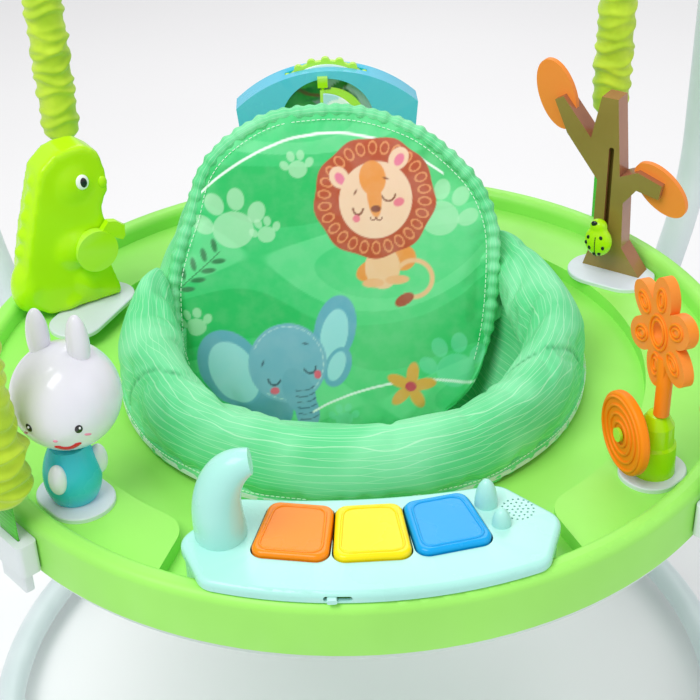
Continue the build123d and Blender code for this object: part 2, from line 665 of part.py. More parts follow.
for side in (-1, 1):
    with BuildPart() as ear:
        add(egg(HEAD[0] + side * 15, HEAD[1] + 3 - side * 6, HEAD[2] + 45, 8.5, 24))
        add(egg(*HEAD, HEAD_R, HEAD_R), mode=Mode.SUBTRACT)
    ears.append(ear.part.solids().sort_by(SortBy.VOLUME)[-1])
    shoulder = polar_point(21, -48 + side * 62)
    with BuildPart() as arm:
        add(egg(bx + shoulder[0], by + shoulder[1], RIM_HEIGHT + 16, 7, 13))
        add(bunny_body.part, mode=Mode.SUBTRACT)
        add(egg(*HEAD, HEAD_R, HEAD_R), mode=Mode.SUBTRACT)
    arms.append(arm.part.solids().sort_by(SortBy.VOLUME)[-1])
save(Compound(children=ears), "bunny_ears")
save(Compound(children=arms), "bunny_arms")

# ================================================================ dinosaur
DINO_HEADING = 30
DINO_DEPTH = 34
DINO_WALL = 2.5
CRANK = (12, 44)
CRANK_PIN_R = 4
dino_face = toy_plane(*DINO, DINO_HEADING, -6)


def dino_outline(grow=0.0):
    with BuildSketch(mode=Mode.PRIVATE) as outline:
        with BuildLine():
            Polyline((-36, PLATE_TOP), (-38, 5), (-60, 14), (-54, 58), (-42, 96), (-30, 132), (-4, 148),
                     (22, 144), (34, 120),
                     (54, 112), (54, 86), (32, 72), (24, 40), (28, 10), (42, PLATE_TOP), close=True)
        make_face()
        fillet(outline.vertices().sort_by(Axis.Y)[4:], 8)
        if grow:
            offset(amount=grow)
    return outline.sketch


seam = dino_face.offset(-DINO_DEPTH / 2)
for name, side in (("dino_front", 1), ("dino_rear", -1)):
    with BuildPart() as half:
        with BuildSketch(seam):
            add(dino_outline())
        extrude(amount=side * DINO_DEPTH / 2)
        with BuildSketch(seam):
            add(dino_outline(-DINO_WALL))
        extrude(amount=side * (DINO_DEPTH / 2 - DINO_WALL), mode=Mode.SUBTRACT)
        with BuildSketch(seam):
            with Locations(CRANK):
                Circle(CRANK_PIN_R + 3)
        extrude(amount=side * DINO_DEPTH / 2)
        with BuildSketch(seam):
            with Locations(CRANK):
                Circle(CRANK_PIN_R + FIT)
        hollow = DINO_DEPTH / 2 if side > 0 else DINO_DEPTH / 2 - DINO_WALL
        extrude(amount=side * hollow, mode=Mode.SUBTRACT)
    save(half.part, name)

with BuildPart() as dino_crank:
    with BuildSketch(seam.offset(-DINO_DEPTH / 2 + DINO_WALL + CLEAR)):
        with Locations(CRANK):
            Circle(CRANK_PIN_R)
    extrude(amount=DINO_DEPTH - DINO_WALL + 4)
    with BuildSketch(dino_face.offset(CLEAR)):
        with Locations(CRANK):
            Circle(20)
    extrude(amount=9)
    with BuildSketch(dino_face.offset(1)):
        with BuildLine():
            Polyline((10, 52), (26, 70), (34, 68), (46, 58), (38, 48), (28, 54), (24, 40), close=True)
        make_face()
    extrude(amount=7)
    paw = dino_face.offset(6).from_local_coords(Vector(46, 55, 0))
    add(egg(paw.X, paw.Y, paw.Z, 5.5, 15))
save(dino_crank.part, "dino_crank")

# ================================================================ tree
TREE_HEADING = -36
TREE_DEPTH = 20
TREE_WALL = 4
SLOT_WIDTH = 5
SLOT_LENGTH = 98
SLOT_MIDDLE = (-9, 64)
tree_face = toy_plane(*TREE, TREE_HEADING)
LEAF = 6                  # thickness of a leaf, held in a slit of its branch
LEAVES = {"leaf_left": ((-70, 150), 112, 34, 18), "leaf_right": ((38, 78), -40, 31, 17)}
leaves = {}
for name, (place, heading, half_length, half_width) in LEAVES.items():
    with BuildPart() as leaf:
        with BuildSketch(tree_face.offset(-TREE_DEPTH / 2 - LEAF / 2)):
            with Locations(Location((place[0], place[1], 0), (0, 0, heading))):
                Ellipse(half_length, half_width)
        extrude(amount=LEAF)
    leaves[name] = leaf.part
    save(leaf.part, name)

with BuildPart() as trunk:
    with BuildSketch(tree_face.offset(-TREE_DEPTH)):
        with BuildLine():
            Polyline((-30, PLATE_TOP), (-22, 14), (-21, 78), (-54, 118), (-68, 148), (-60, 153),
                     (-30, 118), (-22, 160), (-6, 160), (1, 86), (18, 94), (42, 86), (40, 72), (18, 76), (6, 60), (8, 14), (28, PLATE_TOP),
                     close=True)
        make_face()
    extrude(amount=TREE_DEPTH)
    with BuildSketch(tree_face):
        with Locations(SLOT_MIDDLE):
            SlotOverall(SLOT_LENGTH, SLOT_WIDTH, rotation=90)
    extrude(amount=-TREE_WALL, mode=Mode.SUBTRACT)
    with BuildSketch(tree_face.offset(-TREE_WALL)):
        with Locations(SLOT_MIDDLE):
            SlotOverall(SLOT_LENGTH, SLOT_WIDTH + 8, rotation=90)
    extrude(amount=-6, mode=Mode.SUBTRACT)
    for leaf in leaves.values():
        add(leaf, mode=Mode.SUBTRACT)
save(trunk.part, "tree_trunk")

LADYBUG = (SLOT_MIDDLE[0], 24)
with BuildPart() as ladybug:
    with BuildSketch(tree_face.offset(CLEAR)):
        with Locations(LADYBUG):
            RectangleRounded(26, 33, 12)
    extrude(amount=12)
    fillet(ladybug.faces().sort_by(Axis(tree_face.origin, tree_face.z_dir))[-1].edges(), 6)
    with BuildSketch(tree_face.offset(-TREE_WALL - 4)):
        with Locations(LADYBUG):
            Rectangle(SLOT_WIDTH + 6, 9)
    extrude(amount=3.4)
    with BuildSketch(tree_face.offset(-TREE_WALL - 2)):
        with Locations(LADYBUG):
            Circle(SLOT_WIDTH / 2 - CLEAR)
    extrude(amount=TREE_WALL + 4)
save(ladybug.part, "ladybug")

# ================================================================ flowers
FLOWER_HEADING = -75
fx, fy = FLOWERS
flower_face = toy_plane(fx, fy, FLOWER_HEADING)
STUMP_R = 17
STUMP_TOP = 42
RING = (-4, 24)
RING_R = 33
RING_PIN_R = 3
RING_GAP = 20             # stump axis to the ring disc
STALK_R = 6
with BuildPart() as stump:
    with BuildSketch(Plane(origin=(fx, fy, RIM_HEIGHT), x_dir=(1, 0, 0), z_dir=(0, -1, 0))):
        with BuildLine():
            Polyline((0, STUMP_TOP), (0, PLATE_TOP), (STUMP_R, PLATE_TOP), (STUMP_R - 1, 12), (STUMP_R - 3, 14),
                     (STUMP_R - 4, 30), (STUMP_R - 9, STUMP_TOP - 3), (STUMP_R - 13, STUMP_TOP), close=True)
        make_face()
    revolve(axis=Axis((fx, fy, 0), (0, 0, 1)))
    with BuildSketch(flower_face):
        with Locations(RING):
            Circle(RING_PIN_R)
    extrude(amount=RING_GAP + 9)
    with BuildSketch(flower_face.offset(RING_GAP + 9)):
        with Locations(RING):
            Circle(RING_PIN_R + 2.5)
    extrude(amount=2.5)
save(stump.part, "flower_stump")

with BuildPart() as ring_disc:
    with BuildSketch(flower_face.offset(RING_GAP)):
        with Locations(RING):
            Circle(RING_R)
            Circle(RING_PIN_R + FIT, mode=Mode.SUBTRACT)
    extrude(amount=8)
    fillet(ring_disc.edges().filter_by(GeomType.CIRCLE).group_by(SortBy.RADIUS)[-1], 2.5)
save(ring_disc.part, "ring_disc")

FLOWER = (-5, 108)
with BuildPart() as teether:
    with BuildSketch(flower_face.offset(-4)):
        with Locations(FLOWER):
            Circle(18)
            for turn in range(30, 390, 60):
                a = radians(turn)
                with Locations(Location((27 * cos(a), 27 * sin(a), 0), (0, 0, turn))):
                    Ellipse(18, 13)
            Circle(8, mode=Mode.SUBTRACT)
    extrude(amount=8)
    with BuildLine(flower_face):
        stalk = FilletPolyline((4, STUMP_TOP - 1), (4, STUMP_TOP + 26), (FLOWER[0] + 6, FLOWER[1] - 18), radius=[24])
    with BuildSketch(Plane(origin=stalk @ 0, z_dir=stalk % 0)):
        Circle(STALK_R)
    sweep(path=stalk)
    add(stump.part, mode=Mode.SUBTRACT)
save(teether.part, "flower_teether")

# ================================================================ picture arch
px, py = PICTURE
ARCH_HALF = 91
ARCH_SIDE = 105
ARCH_FOOT_HALF = 60
ARCH_TOP = 141
ARCH_DEPTH = 28
WHEEL = (0, 92)
WHEEL_R = 58
WINDOW = (0, 86)
WINDOW_R = 47
WHEEL_GAP = 6
arch_front = toy_plane(px, py, 0, ARCH_DEPTH / 2)


def arch_outline(grow=0.0):
    with BuildSketch(mode=Mode.PRIVATE) as outline:
        with BuildLine():
            Polyline((-ARCH_HALF, ARCH_SIDE), (-ARCH_HALF + 6, 40), (-ARCH_FOOT_HALF, 6), (-ARCH_FOOT_HALF, PLATE_TOP),
                     (ARCH_FOOT_HALF, PLATE_TOP), (ARCH_FOOT_HALF, 6), (ARCH_HALF - 6, 40), (ARCH_HALF, ARCH_SIDE))
            ThreePointArc((ARCH_HALF, ARCH_SIDE), (0, ARCH_TOP), (-ARCH_HALF, ARCH_SIDE))
        make_face()
        if grow:
            offset(amount=grow, kind=Kind.INTERSECTION)
    return outline.sketch


middle = arch_front.offset(-ARCH_DEPTH / 2)
for name, side in (("arch_front", 1), ("arch_rear", -1)):
    with BuildPart() as half:
        with BuildSketch(middle):
            add(arch_outline())
        extrude(amount=side * ARCH_DEPTH / 2)
        with BuildSketch(middle):
            with Locations(WHEEL):
                Circle(WHEEL_R + 1)
        extrude(amount=side * WHEEL_GAP / 2, mode=Mode.SUBTRACT)
        if side > 0:
            with BuildSketch(middle):
                with Locations(WINDOW):
                    Circle(WINDOW_R)
            extrude(amount=ARCH_DEPTH, mode=Mode.SUBTRACT)
        else:
            with BuildSketch(middle.offset(-WHEEL_GAP / 2 - 2)):
                add(arch_outline(-3))
            extrude(amount=-ARCH_DEPTH / 2 + WHEEL_GAP / 2 + 5, mode=Mode.SUBTRACT)
            with BuildSketch(middle.offset(-WHEEL_GAP / 2 - 2)):
                with Locations(WHEEL):
                    Circle(5)
            extrude(amount=6.5)
    save(half.part, name)

with BuildPart() as wheel:
    with BuildSketch(middle.offset(-WHEEL_GAP / 2 + CLEAR)):
        with Locations(WHEEL):
            Circle(WHEEL_R - 3)
            with PolarLocations(WHEEL_R - 4, 24):
                Circle(4.5)
            Circle(5 + FIT, mode=Mode.SUBTRACT)
    extrude(amount=WHEEL_GAP - 2 * CLEAR)
save(wheel.part, "picture_wheel")

PAGE_HINGE = (-4, 0)
with BuildPart() as post:
    with BuildSketch(arch_front):
        with Locations((PAGE_HINGE[0], WINDOW[1] - WINDOW_R + 2), (PAGE_HINGE[0], WINDOW[1] + WINDOW_R - 2)):
            Rectangle(10, 10)
    extrude(amount=6)
    with BuildSketch(Plane(origin=arch_front.from_local_coords(Vector(PAGE_HINGE[0], WINDOW[1] - WINDOW_R, 3)),
                           z_dir=(0, 0, 1))):
        Circle(1.5)
    extrude(amount=2 * WINDOW_R)
save(post.part, "page_post")

with BuildPart() as page:
    with BuildSketch(arch_front.offset(1.6)):
        with BuildLine():
            edge = CenterArc(WINDOW, WINDOW_R - 8, -84, 168)
            Line(edge @ 1, edge @ 0)
        make_face()
        with Locations((WINDOW_R - 2, WINDOW[1] - 4)):
            RectangleRounded(18, 16, 5)
    extrude(amount=2.8)
    with BuildSketch(Plane(origin=arch_front.from_local_coords(Vector(PAGE_HINGE[0], WINDOW[1] - WINDOW_R + 10, 3)),
                           z_dir=(0, 0, 1))):
        Circle(3)
    extrude(amount=2 * WINDOW_R - 20)
    with BuildSketch(arch_front.offset(1.6)):
        with Locations((2, WINDOW[1])):
            Rectangle(10, 2 * WINDOW_R - 20)
    extrude(amount=2.8)
    with BuildSketch(Plane(origin=arch_front.from_local_coords(Vector(PAGE_HINGE[0], WINDOW[1] - WINDOW_R, 3)),
                           z_dir=(0, 0, 1))):
        Circle(1.5 + FIT)
    extrude(amount=2 * WINDOW_R, mode=Mode.SUBTRACT)
save(page.part, "picture_page")
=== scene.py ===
# %% [markdown]
# # An activity jumper, dressed for its portrait
# The jumper is a round toy tray that hangs on springs from four bowed posts, with a padded seat that
# turns in the middle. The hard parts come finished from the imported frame. This lesson gives them their
# plastics and paints, and makes everything that is cloth: the printed back, the bolster, the bucket,
# the spring sleeves and the webbing.

from contextlib import contextmanager
from math import cos, degrees, hypot, pi, radians, sin

import bmesh
import bpy
import numpy as np
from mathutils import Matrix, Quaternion, Vector


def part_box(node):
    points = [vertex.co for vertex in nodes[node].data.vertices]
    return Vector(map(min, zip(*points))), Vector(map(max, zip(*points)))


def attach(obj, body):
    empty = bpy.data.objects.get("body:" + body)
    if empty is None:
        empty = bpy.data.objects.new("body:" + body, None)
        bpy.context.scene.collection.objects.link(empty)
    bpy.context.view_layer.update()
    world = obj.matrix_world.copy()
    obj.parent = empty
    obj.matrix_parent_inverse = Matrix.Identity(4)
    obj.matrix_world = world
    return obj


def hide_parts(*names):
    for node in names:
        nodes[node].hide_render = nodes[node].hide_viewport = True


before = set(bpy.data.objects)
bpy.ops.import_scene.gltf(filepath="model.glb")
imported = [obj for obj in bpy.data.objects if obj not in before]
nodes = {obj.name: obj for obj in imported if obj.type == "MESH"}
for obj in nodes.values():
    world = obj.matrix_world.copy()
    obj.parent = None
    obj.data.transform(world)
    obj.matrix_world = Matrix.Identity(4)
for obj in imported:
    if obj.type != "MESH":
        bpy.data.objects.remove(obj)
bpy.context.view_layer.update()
MM = 0.001
RIM = 0.420                # rim top above the floor
SEAT_TURN = 6.0            # degrees that the seat rests turned by

# %% [markdown]
# ## Small helpers for shader nodes
# A material is a little factory of nodes. Adding nodes by hand takes four lines each, so one helper makes
# a node, sets its options and joins or fills its inputs in a single call.

# %% Node helpers


def add(tree, kind, *inputs, **named):
    """A new node: lower-case names are its options, the others are its inputs."""
    made = tree.nodes.new("ShaderNode" + kind)
    for name, value in named.items():
        if name[0].islower():
            setattr(made, name, value)
    pairs = list(zip(made.inputs, inputs))
    pairs += [(made.inputs[name.replace("_", " ")], value) for name, value in named.items()
              if name[0].isupper()]
    for socket, value in pairs:
        if isinstance(value, bpy.types.NodeSocket):
            tree.links.new(value, socket)
        elif value is not None:
            socket.default_value = value
    return made


def blend_colour(tree, amount, under, over):
    """Lays the colour over on the colour under."""
    mix = tree.nodes.new("ShaderNodeMix")
    mix.data_type = "RGBA"
    for socket, value in ((mix.inputs[0], amount), (mix.inputs[6], under), (mix.inputs[7], over)):
        if isinstance(value, bpy.types.NodeSocket):
            tree.links.new(value, socket)
        else:
            socket.default_value = value
    return mix.outputs[2]


def maths(tree, operation, *values):
    return add(tree, "Math", *values, operation=operation).outputs[0]


def ramp(tree, value, low, high, from_=0.0, to=1.0):
    """Turns low..high into from_..to, smoothly."""
    node = add(tree, "MapRange", interpolation_type="SMOOTHSTEP", Value=value)
    for name, number in (("From Min", low), ("From Max", high), ("To Min", from_), ("To Max", to)):
        node.inputs[name].default_value = number
    return node.outputs[0]


def noise(tree, coords, scale, detail=2.0):
    return add(tree, "TexNoise", Vector=coords, Scale=scale, Detail=detail).outputs["Fac"]


def hexa(code):
    """A display colour such as 9BE26E as the linear colour that a shader wants."""
    display = [int(code[i:i + 2], 16) / 255 for i in (0, 2, 4)]
    return (*[(c / 12.92) if c <= 0.04045 else ((c + 0.055) / 1.055) ** 2.4 for c in display], 1.0)


def shade(colour, factor):
    return (*[min(1.0, c * factor) for c in colour[:3]], 1.0)


def blank(name):
    """A new material with its shader and its object coordinates."""
    made = bpy.data.materials.new(name)
    made.use_nodes = True
    tree = made.node_tree
    return made, tree, tree.nodes["Principled BSDF"], add(tree, "TexCoord").outputs["Object"]


def surface(tree, shader, colour, rough, coat=0.0, sheen=0.0):
    """Sets the shader's finish. The colour is a socket, and the rest are numbers."""
    tree.links.new(colour, shader.inputs["Base Color"])
    for name, value in (("Roughness", rough), ("Coat Weight", coat), ("Sheen Weight", sheen)):
        shader.inputs[name].default_value = value


def set_bump(tree, shader, height, strength, distance):
    bump = add(tree, "Bump", Height=height, Strength=strength, Distance=distance)
    tree.links.new(bump.outputs[0], shader.inputs["Normal"])


# %% [markdown]
# ## Moulded plastic
# Toys and tray are injection moulded. The colour runs right through, so it varies only a little. What the
# eye reads as plastic is the gloss: a soft highlight broken by a faint orange-peel ripple, and paler edges,
# which are a painted highlight where the rounded edges catch the light. A bevel-free way to find edges is
# the pointiness of the geometry.

# %% Plastics


def plastic(name, code, rough=0.3, coat=0.0, grain=0.0, edge_highlight=0.12):
    """grain is the strength of a fine moulded texture; the last number is how far edges go to white, as a
    painted highlight.
    """
    made, tree, shader, here = blank(name)
    colour = hexa(code)
    cloud = ramp(tree, noise(tree, here, 9.0, 3.0), 0.3, 0.7)
    body = blend_colour(tree, cloud, shade(colour, 0.95), shade(colour, 1.03))
    # Painted highlight: convex edges, found by pointiness, are lifted towards white.
    edge = ramp(tree, add(tree, "NewGeometry").outputs["Pointiness"], 0.54, 0.66, 0.0, edge_highlight)
    body = blend_colour(tree, edge, body, (1, 1, 1, 1))
    tree.links.new(body, shader.inputs["Base Color"])
    smear = ramp(tree, noise(tree, here, 22.0, 4.0), 0.35, 0.7, rough * 0.88, rough * 1.15)
    tree.links.new(smear, shader.inputs["Roughness"])
    shader.inputs["Coat Weight"].default_value = coat
    shader.inputs["Coat Roughness"].default_value = 0.08
    shader.inputs["Specular IOR Level"].default_value = 0.32
    if grain:
        set_bump(tree, shader, noise(tree, here, 900.0, 2.0), grain, 0.0003)
    else:
        set_bump(tree, shader, noise(tree, here, 60.0, 1.0), 0.05, 0.0008)
    return made


def dress(material, *names):
    """Gives the material to CAD nodes."""
    for name in names:
        slots = nodes[name].material_slots
        if not slots:
            nodes[name].data.materials.append(material)
        for slot in slots:
            slot.material = material


tray_green = plastic("tray green satin", "A0EC68", 0.42, 0.0, 0.12, 0.06)
tray_shell = plastic("pale underside", "DDE9E6", 0.5, 0.0, 0.3)
plate_grey = plastic("pale grey inserts", "DADFEA", 0.4)
piano_mint = plastic("mint gloss", "ACE8DE", 0.26, 0.15)
orange_key = plastic("orange gloss", "FF8A00", 0.26, 0.05, 0.0, 0.1)
yellow_key = plastic("yellow gloss", "FFE000", 0.26, 0.05, 0.0, 0.1)
blue_key = plastic("blue gloss", "00A2E8", 0.26, 0.05, 0.0, 0.1)
toy_white = plastic("white gloss", "F1F0FB", 0.22, 0.4)
toy_lime = plastic("lime gloss", "B6EE0C", 0.22, 0.08)
toy_teal = plastic("teal gloss", "3CC6DC", 0.26, 0.12)
bark = plastic("brown gloss", "9A7048", 0.26, 0.4)
silicone = plastic("orange silicone", "FF8C00", 0.5, 0.0, 0.25, 0.05)
arch_blue = plastic("arch blue gloss", "00C2E6", 0.26, 0.08, 0.0, 0.15)
frame_plastic = plastic("frame mouldings", "DDE6E8", 0.42, 0.0, 0.2)
foot_rubber = plastic("foot rubber", "6B7072", 0.75, 0.0, 0.5, 0.0)
board_green = plastic("circuit board", "2E7A4C", 0.5)
dress(tray_green, "tray_top")
dress(tray_shell, "tray_bottom")
dress(plate_grey, "toy_plates")
dress(piano_mint, "piano_case", "piano_top", "piano_hump", "piano_domes", "battery_door", "switch_knob")
dress(orange_key, "key_orange")
dress(yellow_key, "key_yellow")
dress(blue_key, "key_blue")
dress(toy_white, "bunny_head", "bunny_ears", "bunny_arms")
dress(toy_teal, "bunny_body")
dress(toy_lime, "dino_front", "dino_rear", "dino_crank", "ladybug", "flower_stump", "picture_wheel",
      "page_post", "picture_page")
dress(bark, "tree_trunk")
dress(silicone, "leaf_left", "leaf_right", "flower_teether", "ring_disc")
dress(arch_blue, "arch_front", "arch_rear")
dress(frame_plastic, "foot_housings", "post_caps", "rim_brackets", "strap_hooks", "strap_adjusters",
      "seat_ring", "seat_rollers")
dress(foot_rubber, "foot_pads", "piano_speaker")
dress(board_green, "piano_board", "piano_batteries")

# %% [markdown]
# ## Metal
# The posts and floor tubes are powder coated: a satin paint with a fine orange peel. Springs, pins and
# screws are bare steel with drawing marks along the wire.

# %% Metals


def coated_tube():
    made, tree, shader, here = blank("powder coat")
    body = blend_colour(tree, ramp(tree, noise(tree, here, 14.0), 0.35, 0.65), hexa("D5E2E4"), hexa("DDE8EA"))
    surface(tree, shader, body, 0.36)
    set_bump(tree, shader, noise(tree, here, 700.0), 0.2, 0.0004)
    return made


def bare_steel():
    made, tree, shader, here = blank("drawn steel")
    marks = add(tree, "Mapping", Vector=here, Scale=(60, 60, 900)).outputs[0]
    streak = noise(tree, marks, 6.0, 4.0)
    body = blend_colour(tree, streak, hexa("A9ADB0"), hexa("CFD3D6"))
    tree.links.new(body, shader.inputs["Base Color"])
    tree.links.new(ramp(tree, streak, 0.3, 0.7, 0.28, 0.42), shader.inputs["Roughness"])
    shader.inputs["Metallic"].default_value = 1.0
    return made


dress(coated_tube(), "post_rear_right", "post_rear_left", "post_front_left", "post_front_right",
      "base_tubes_long", "base_tubes_wide")
dress(bare_steel(), "bounce_springs", "spring_pins", "key_springs", "tray_screws")

# %% [markdown]
# ## Camera, light and floor
# The portrait looks down into the seat at about 32 degrees. The light is a big soft sky from above and
# the left, with a weaker fill, on a plain pale floor.

# %% Camera and light
LOOK_AT = Vector((0, 0, RIM))
DISTANCE = 1.2207
ELEVATION = radians(32.24)
AZIMUTH = radians(-1.9)
ROLL = radians(-1.83)
toward = Vector((sin(AZIMUTH) * cos(ELEVATION), -cos(AZIMUTH) * cos(ELEVATION), sin(ELEVATION)))
camera = bpy.data.objects.new("camera", bpy.data.cameras.new("camera"))
camera.location = LOOK_AT + toward * DISTANCE
camera.rotation_mode = "QUATERNION"
camera.rotation_quaternion = (-toward).to_track_quat("-Z", "Y") @ Quaternion((0, 0, 1), ROLL)
camera.data.lens = 72
camera.data.sensor_width = 36
camera.data.shift_x = -0.0030
camera.data.shift_y = -0.01236
camera.data.clip_start = 0.02
bpy.context.collection.objects.link(camera)
bpy.context.scene.camera = camera
bpy.context.scene.view_settings.view_transform = "Standard"


def soft_light(name, place, size, power, colour=(1, 1, 1)):
    lamp = bpy.data.objects.new(name, bpy.data.lights.new(name, "AREA"))
    lamp.data.size = size
    lamp.data.energy = power
    lamp.data.color = colour
    lamp.location = place
    lamp.rotation_mode = "QUATERNION"
    lamp.rotation_quaternion = (LOOK_AT - Vector(place)).to_track_quat("-Z", "Y")
    bpy.context.collection.objects.link(lamp)


soft_light("key light", (-0.9, -0.9, 2.4), 1.3, 33)
soft_light("fill light", (1.6, -1.0, 1.6), 1.8, 7)
soft_light("back light", (0.3, 1.9, 2.0), 1.4, 14)
world = bpy.data.worlds.new("studio")
world.use_nodes = True
world.node_tree.nodes["Background"].inputs["Color"].default_value = (1.0, 1.0, 1.0, 1.0)
world.node_tree.nodes["Background"].inputs["Strength"].default_value = 0.60
bpy.context.scene.world = world


def floor_paint():
    made, tree, shader, here = blank("studio floor")
    body = blend_colour(tree, noise(tree, here, 1.5), hexa("F4F3F5"), hexa("FAFAFB"))
    surface(tree, shader, body, 0.7)
    return made


FLOOR_HALF = 6.0
floor_mesh = bpy.data.meshes.new("studio_floor")
corners = [(-1, -1), (1, -1), (1, 1), (-1, 1)]
floor_mesh.from_pydata([(x * FLOOR_HALF, y * FLOOR_HALF, 0) for x, y in corners], [], [(0, 1, 2, 3)])
floor_mesh.materials.append(floor_paint())
studio_floor = bpy.data.objects.new("studio_floor", floor_mesh)
bpy.context.collection.objects.link(studio_floor)

# %% [markdown]
# ## Meshes from grids
# Nearly every cloth piece here is a grid of points: rows along it and columns round it. One helper turns
# a grid into a mesh, another moves a cross-section along a path, and both can carry a flat position for
# each point, so that a print or a weave follows the cloth and not the room.

# %% Grid helpers


def new_piece(name, mesh, body, slot):
    """An object for the mesh, riding on the body."""
    piece = bpy.data.objects.new(name, mesh)
    bpy.context.collection.objects.link(piece)
    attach(piece, body)
    return piece


@contextmanager
def shape_of(piece):
    """Opens a piece's mesh for editing, and writes it back."""
    shape = bmesh.new()
    shape.from_mesh(piece.data)
    yield shape
    shape.to_mesh(piece.data)
    shape.free()


def settled(piece):
    """Gives the piece the mesh that its modifiers make, and removes them."""
    shaped = bpy.data.meshes.new_from_object(piece.evaluated_get(bpy.context.evaluated_depsgraph_get()))
    piece.modifiers.clear()
    old, piece.data = piece.data, shaped
    bpy.data.meshes.remove(old)
    shaped.name = piece.name
    return shaped


def wall(piece, thickness):
    """Gives an open sheet its thickness, inwards."""
    sheet = piece.modifiers.new("wall", "SOLIDIFY")
    sheet.thickness = thickness
    sheet.offset = -1


def finish_piece(name, verts, faces, body, material, slot, flat=None):
    """A piece made of the points. flat is a position on the cloth, per point."""
    mesh = bpy.data.meshes.new(name)
    mesh.from_pydata([tuple(map(float, v)) for v in verts], [], faces)
    if flat is not None:
        layer = mesh.attributes.new("flat", "FLOAT_VECTOR", "POINT")
        padded = np.zeros((len(verts), 3), dtype=np.float32)
        padded[:, :flat.shape[1]] = flat
        layer.data.foreach_set("vector", padded.ravel())
    mesh.shade_smooth()
    mesh.materials.append(material)
    return new_piece(name, mesh, body, slot)


def quads(rows, columns, wrap_rows=False, wrap_columns=False):
    """Faces of a grid whose points are numbered row by row."""
    faces = []
    for i in range(rows if wrap_rows else rows - 1):
        for j in range(columns if wrap_columns else columns - 1):
            a, b = i * columns + j, i * columns + (j + 1) % columns
            c, d = ((i + 1) % rows) * columns + (j + 1) % columns, ((i + 1) % rows) * columns + j
            faces.append((a, b, c, d))
    return faces


def face_outwards(piece):
    """Joins doubled points and turns every face of a closed piece outwards."""
    with shape_of(piece) as shape:
        bmesh.ops.remove_doubles(shape, verts=shape.verts, dist=1e-6)
        bmesh.ops.recalc_face_normals(shape, faces=shape.faces)


def smooth_loop(points, count, closed=True):
    """A smooth curve through the points, as count points an even parameter apart."""
    points = np.asarray(points, dtype=float)
    n = len(points)
    at = np.linspace(0, n if closed else n - 1, count, endpoint=not closed)
    whole = np.minimum(np.floor(at).astype(int), n - 1 if closed else n - 2)
    t = (at - whole)[:, None]
    pick = (lambda k: points[(whole + k) % n]) if closed else (lambda k: points[np.clip(whole + k, 0, n - 1)])
    p0, p1, p2, p3 = pick(-1), pick(0), pick(1), pick(2)
    return 0.5 * (2 * p1 + (p2 - p0) * t + (2 * p0 - 5 * p1 + 4 * p2 - p3) * t ** 2
                  + (3 * p1 - p0 - 3 * p2 + p3) * t ** 3)


def spaced(points, count, closed=False):
    """The same line with its points an equal distance apart, and each point's distance along it."""
    points = np.vstack([points, points[:1]]) if closed else points
    along = np.concatenate([[0], np.cumsum(np.linalg.norm(np.diff(points, axis=0), axis=1))])
    at = np.linspace(0, along[-1], count, endpoint=not closed)
    return np.stack([np.interp(at, along, points[:, k]) for k in range(points.shape[1])], axis=1), at


def swept(path, section, closed=False, up=(0, 0, 1)):
    """Points of the section (a function of the path's step, giving across and up offsets) along the path."""
    ahead = np.roll(path, -1, axis=0) - np.roll(path, 1, axis=0)
    if not closed:
        ahead[0], ahead[-1] = path[1] - path[0], path[-1] - path[-2]
    ahead /= np.linalg.norm(ahead, axis=1)[:, None]
    across = np.cross(ahead, np.asarray(up, dtype=float))
    across /= np.linalg.norm(across, axis=1)[:, None]
    over = np.cross(across, ahead)
    rows = []
    for i in range(len(path)):
        shape = section(i)
        rows.append(path[i] + across[i] * shape[:, :1] + over[i] * shape[:, 1:2])
    return np.array(rows)


def tube(name, path, section, body, material, slot, closed=False, up=(0, 0, 1), along=None, round_=1.0):
    """A closed tube along the path, with capped ends unless it is a ring."""
    rows = swept(path, section, closed, up)
    count, around = rows.shape[:2]
    faces = quads(count, around, closed, True)
    if not closed:
        faces += [tuple(range(around))[::-1], tuple(range((count - 1) * around, count * around))]
    flat = None
    if along is not None:
        flat = np.array([(s, round_ * j / around) for s in along for j in range(around)])
    piece = finish_piece(name, rows.reshape(-1, 3), faces, body, material, slot, flat)
    face_outwards(piece)
    return piece


def circle(radius, count=10, flatten=1.0):
    turn = np.linspace(0, 2 * pi, count, endpoint=False)
    return np.stack([radius * np.cos(turn), radius * flatten * np.sin(turn)], axis=1)


# %% [markdown]
# ## Filling with cloth simulation
# A stuffed piece is made a little too small, and its cover is then blown up by a cloth simulation. Points
# on seams are pinned, so the cover swells between them and creases beside them, as sewn foam does. The
# cover is also cut slightly too large for its seams, which is what makes the puckers. How far any point
# may move is capped, so the piece stays in its place.

# %% Cloth filling


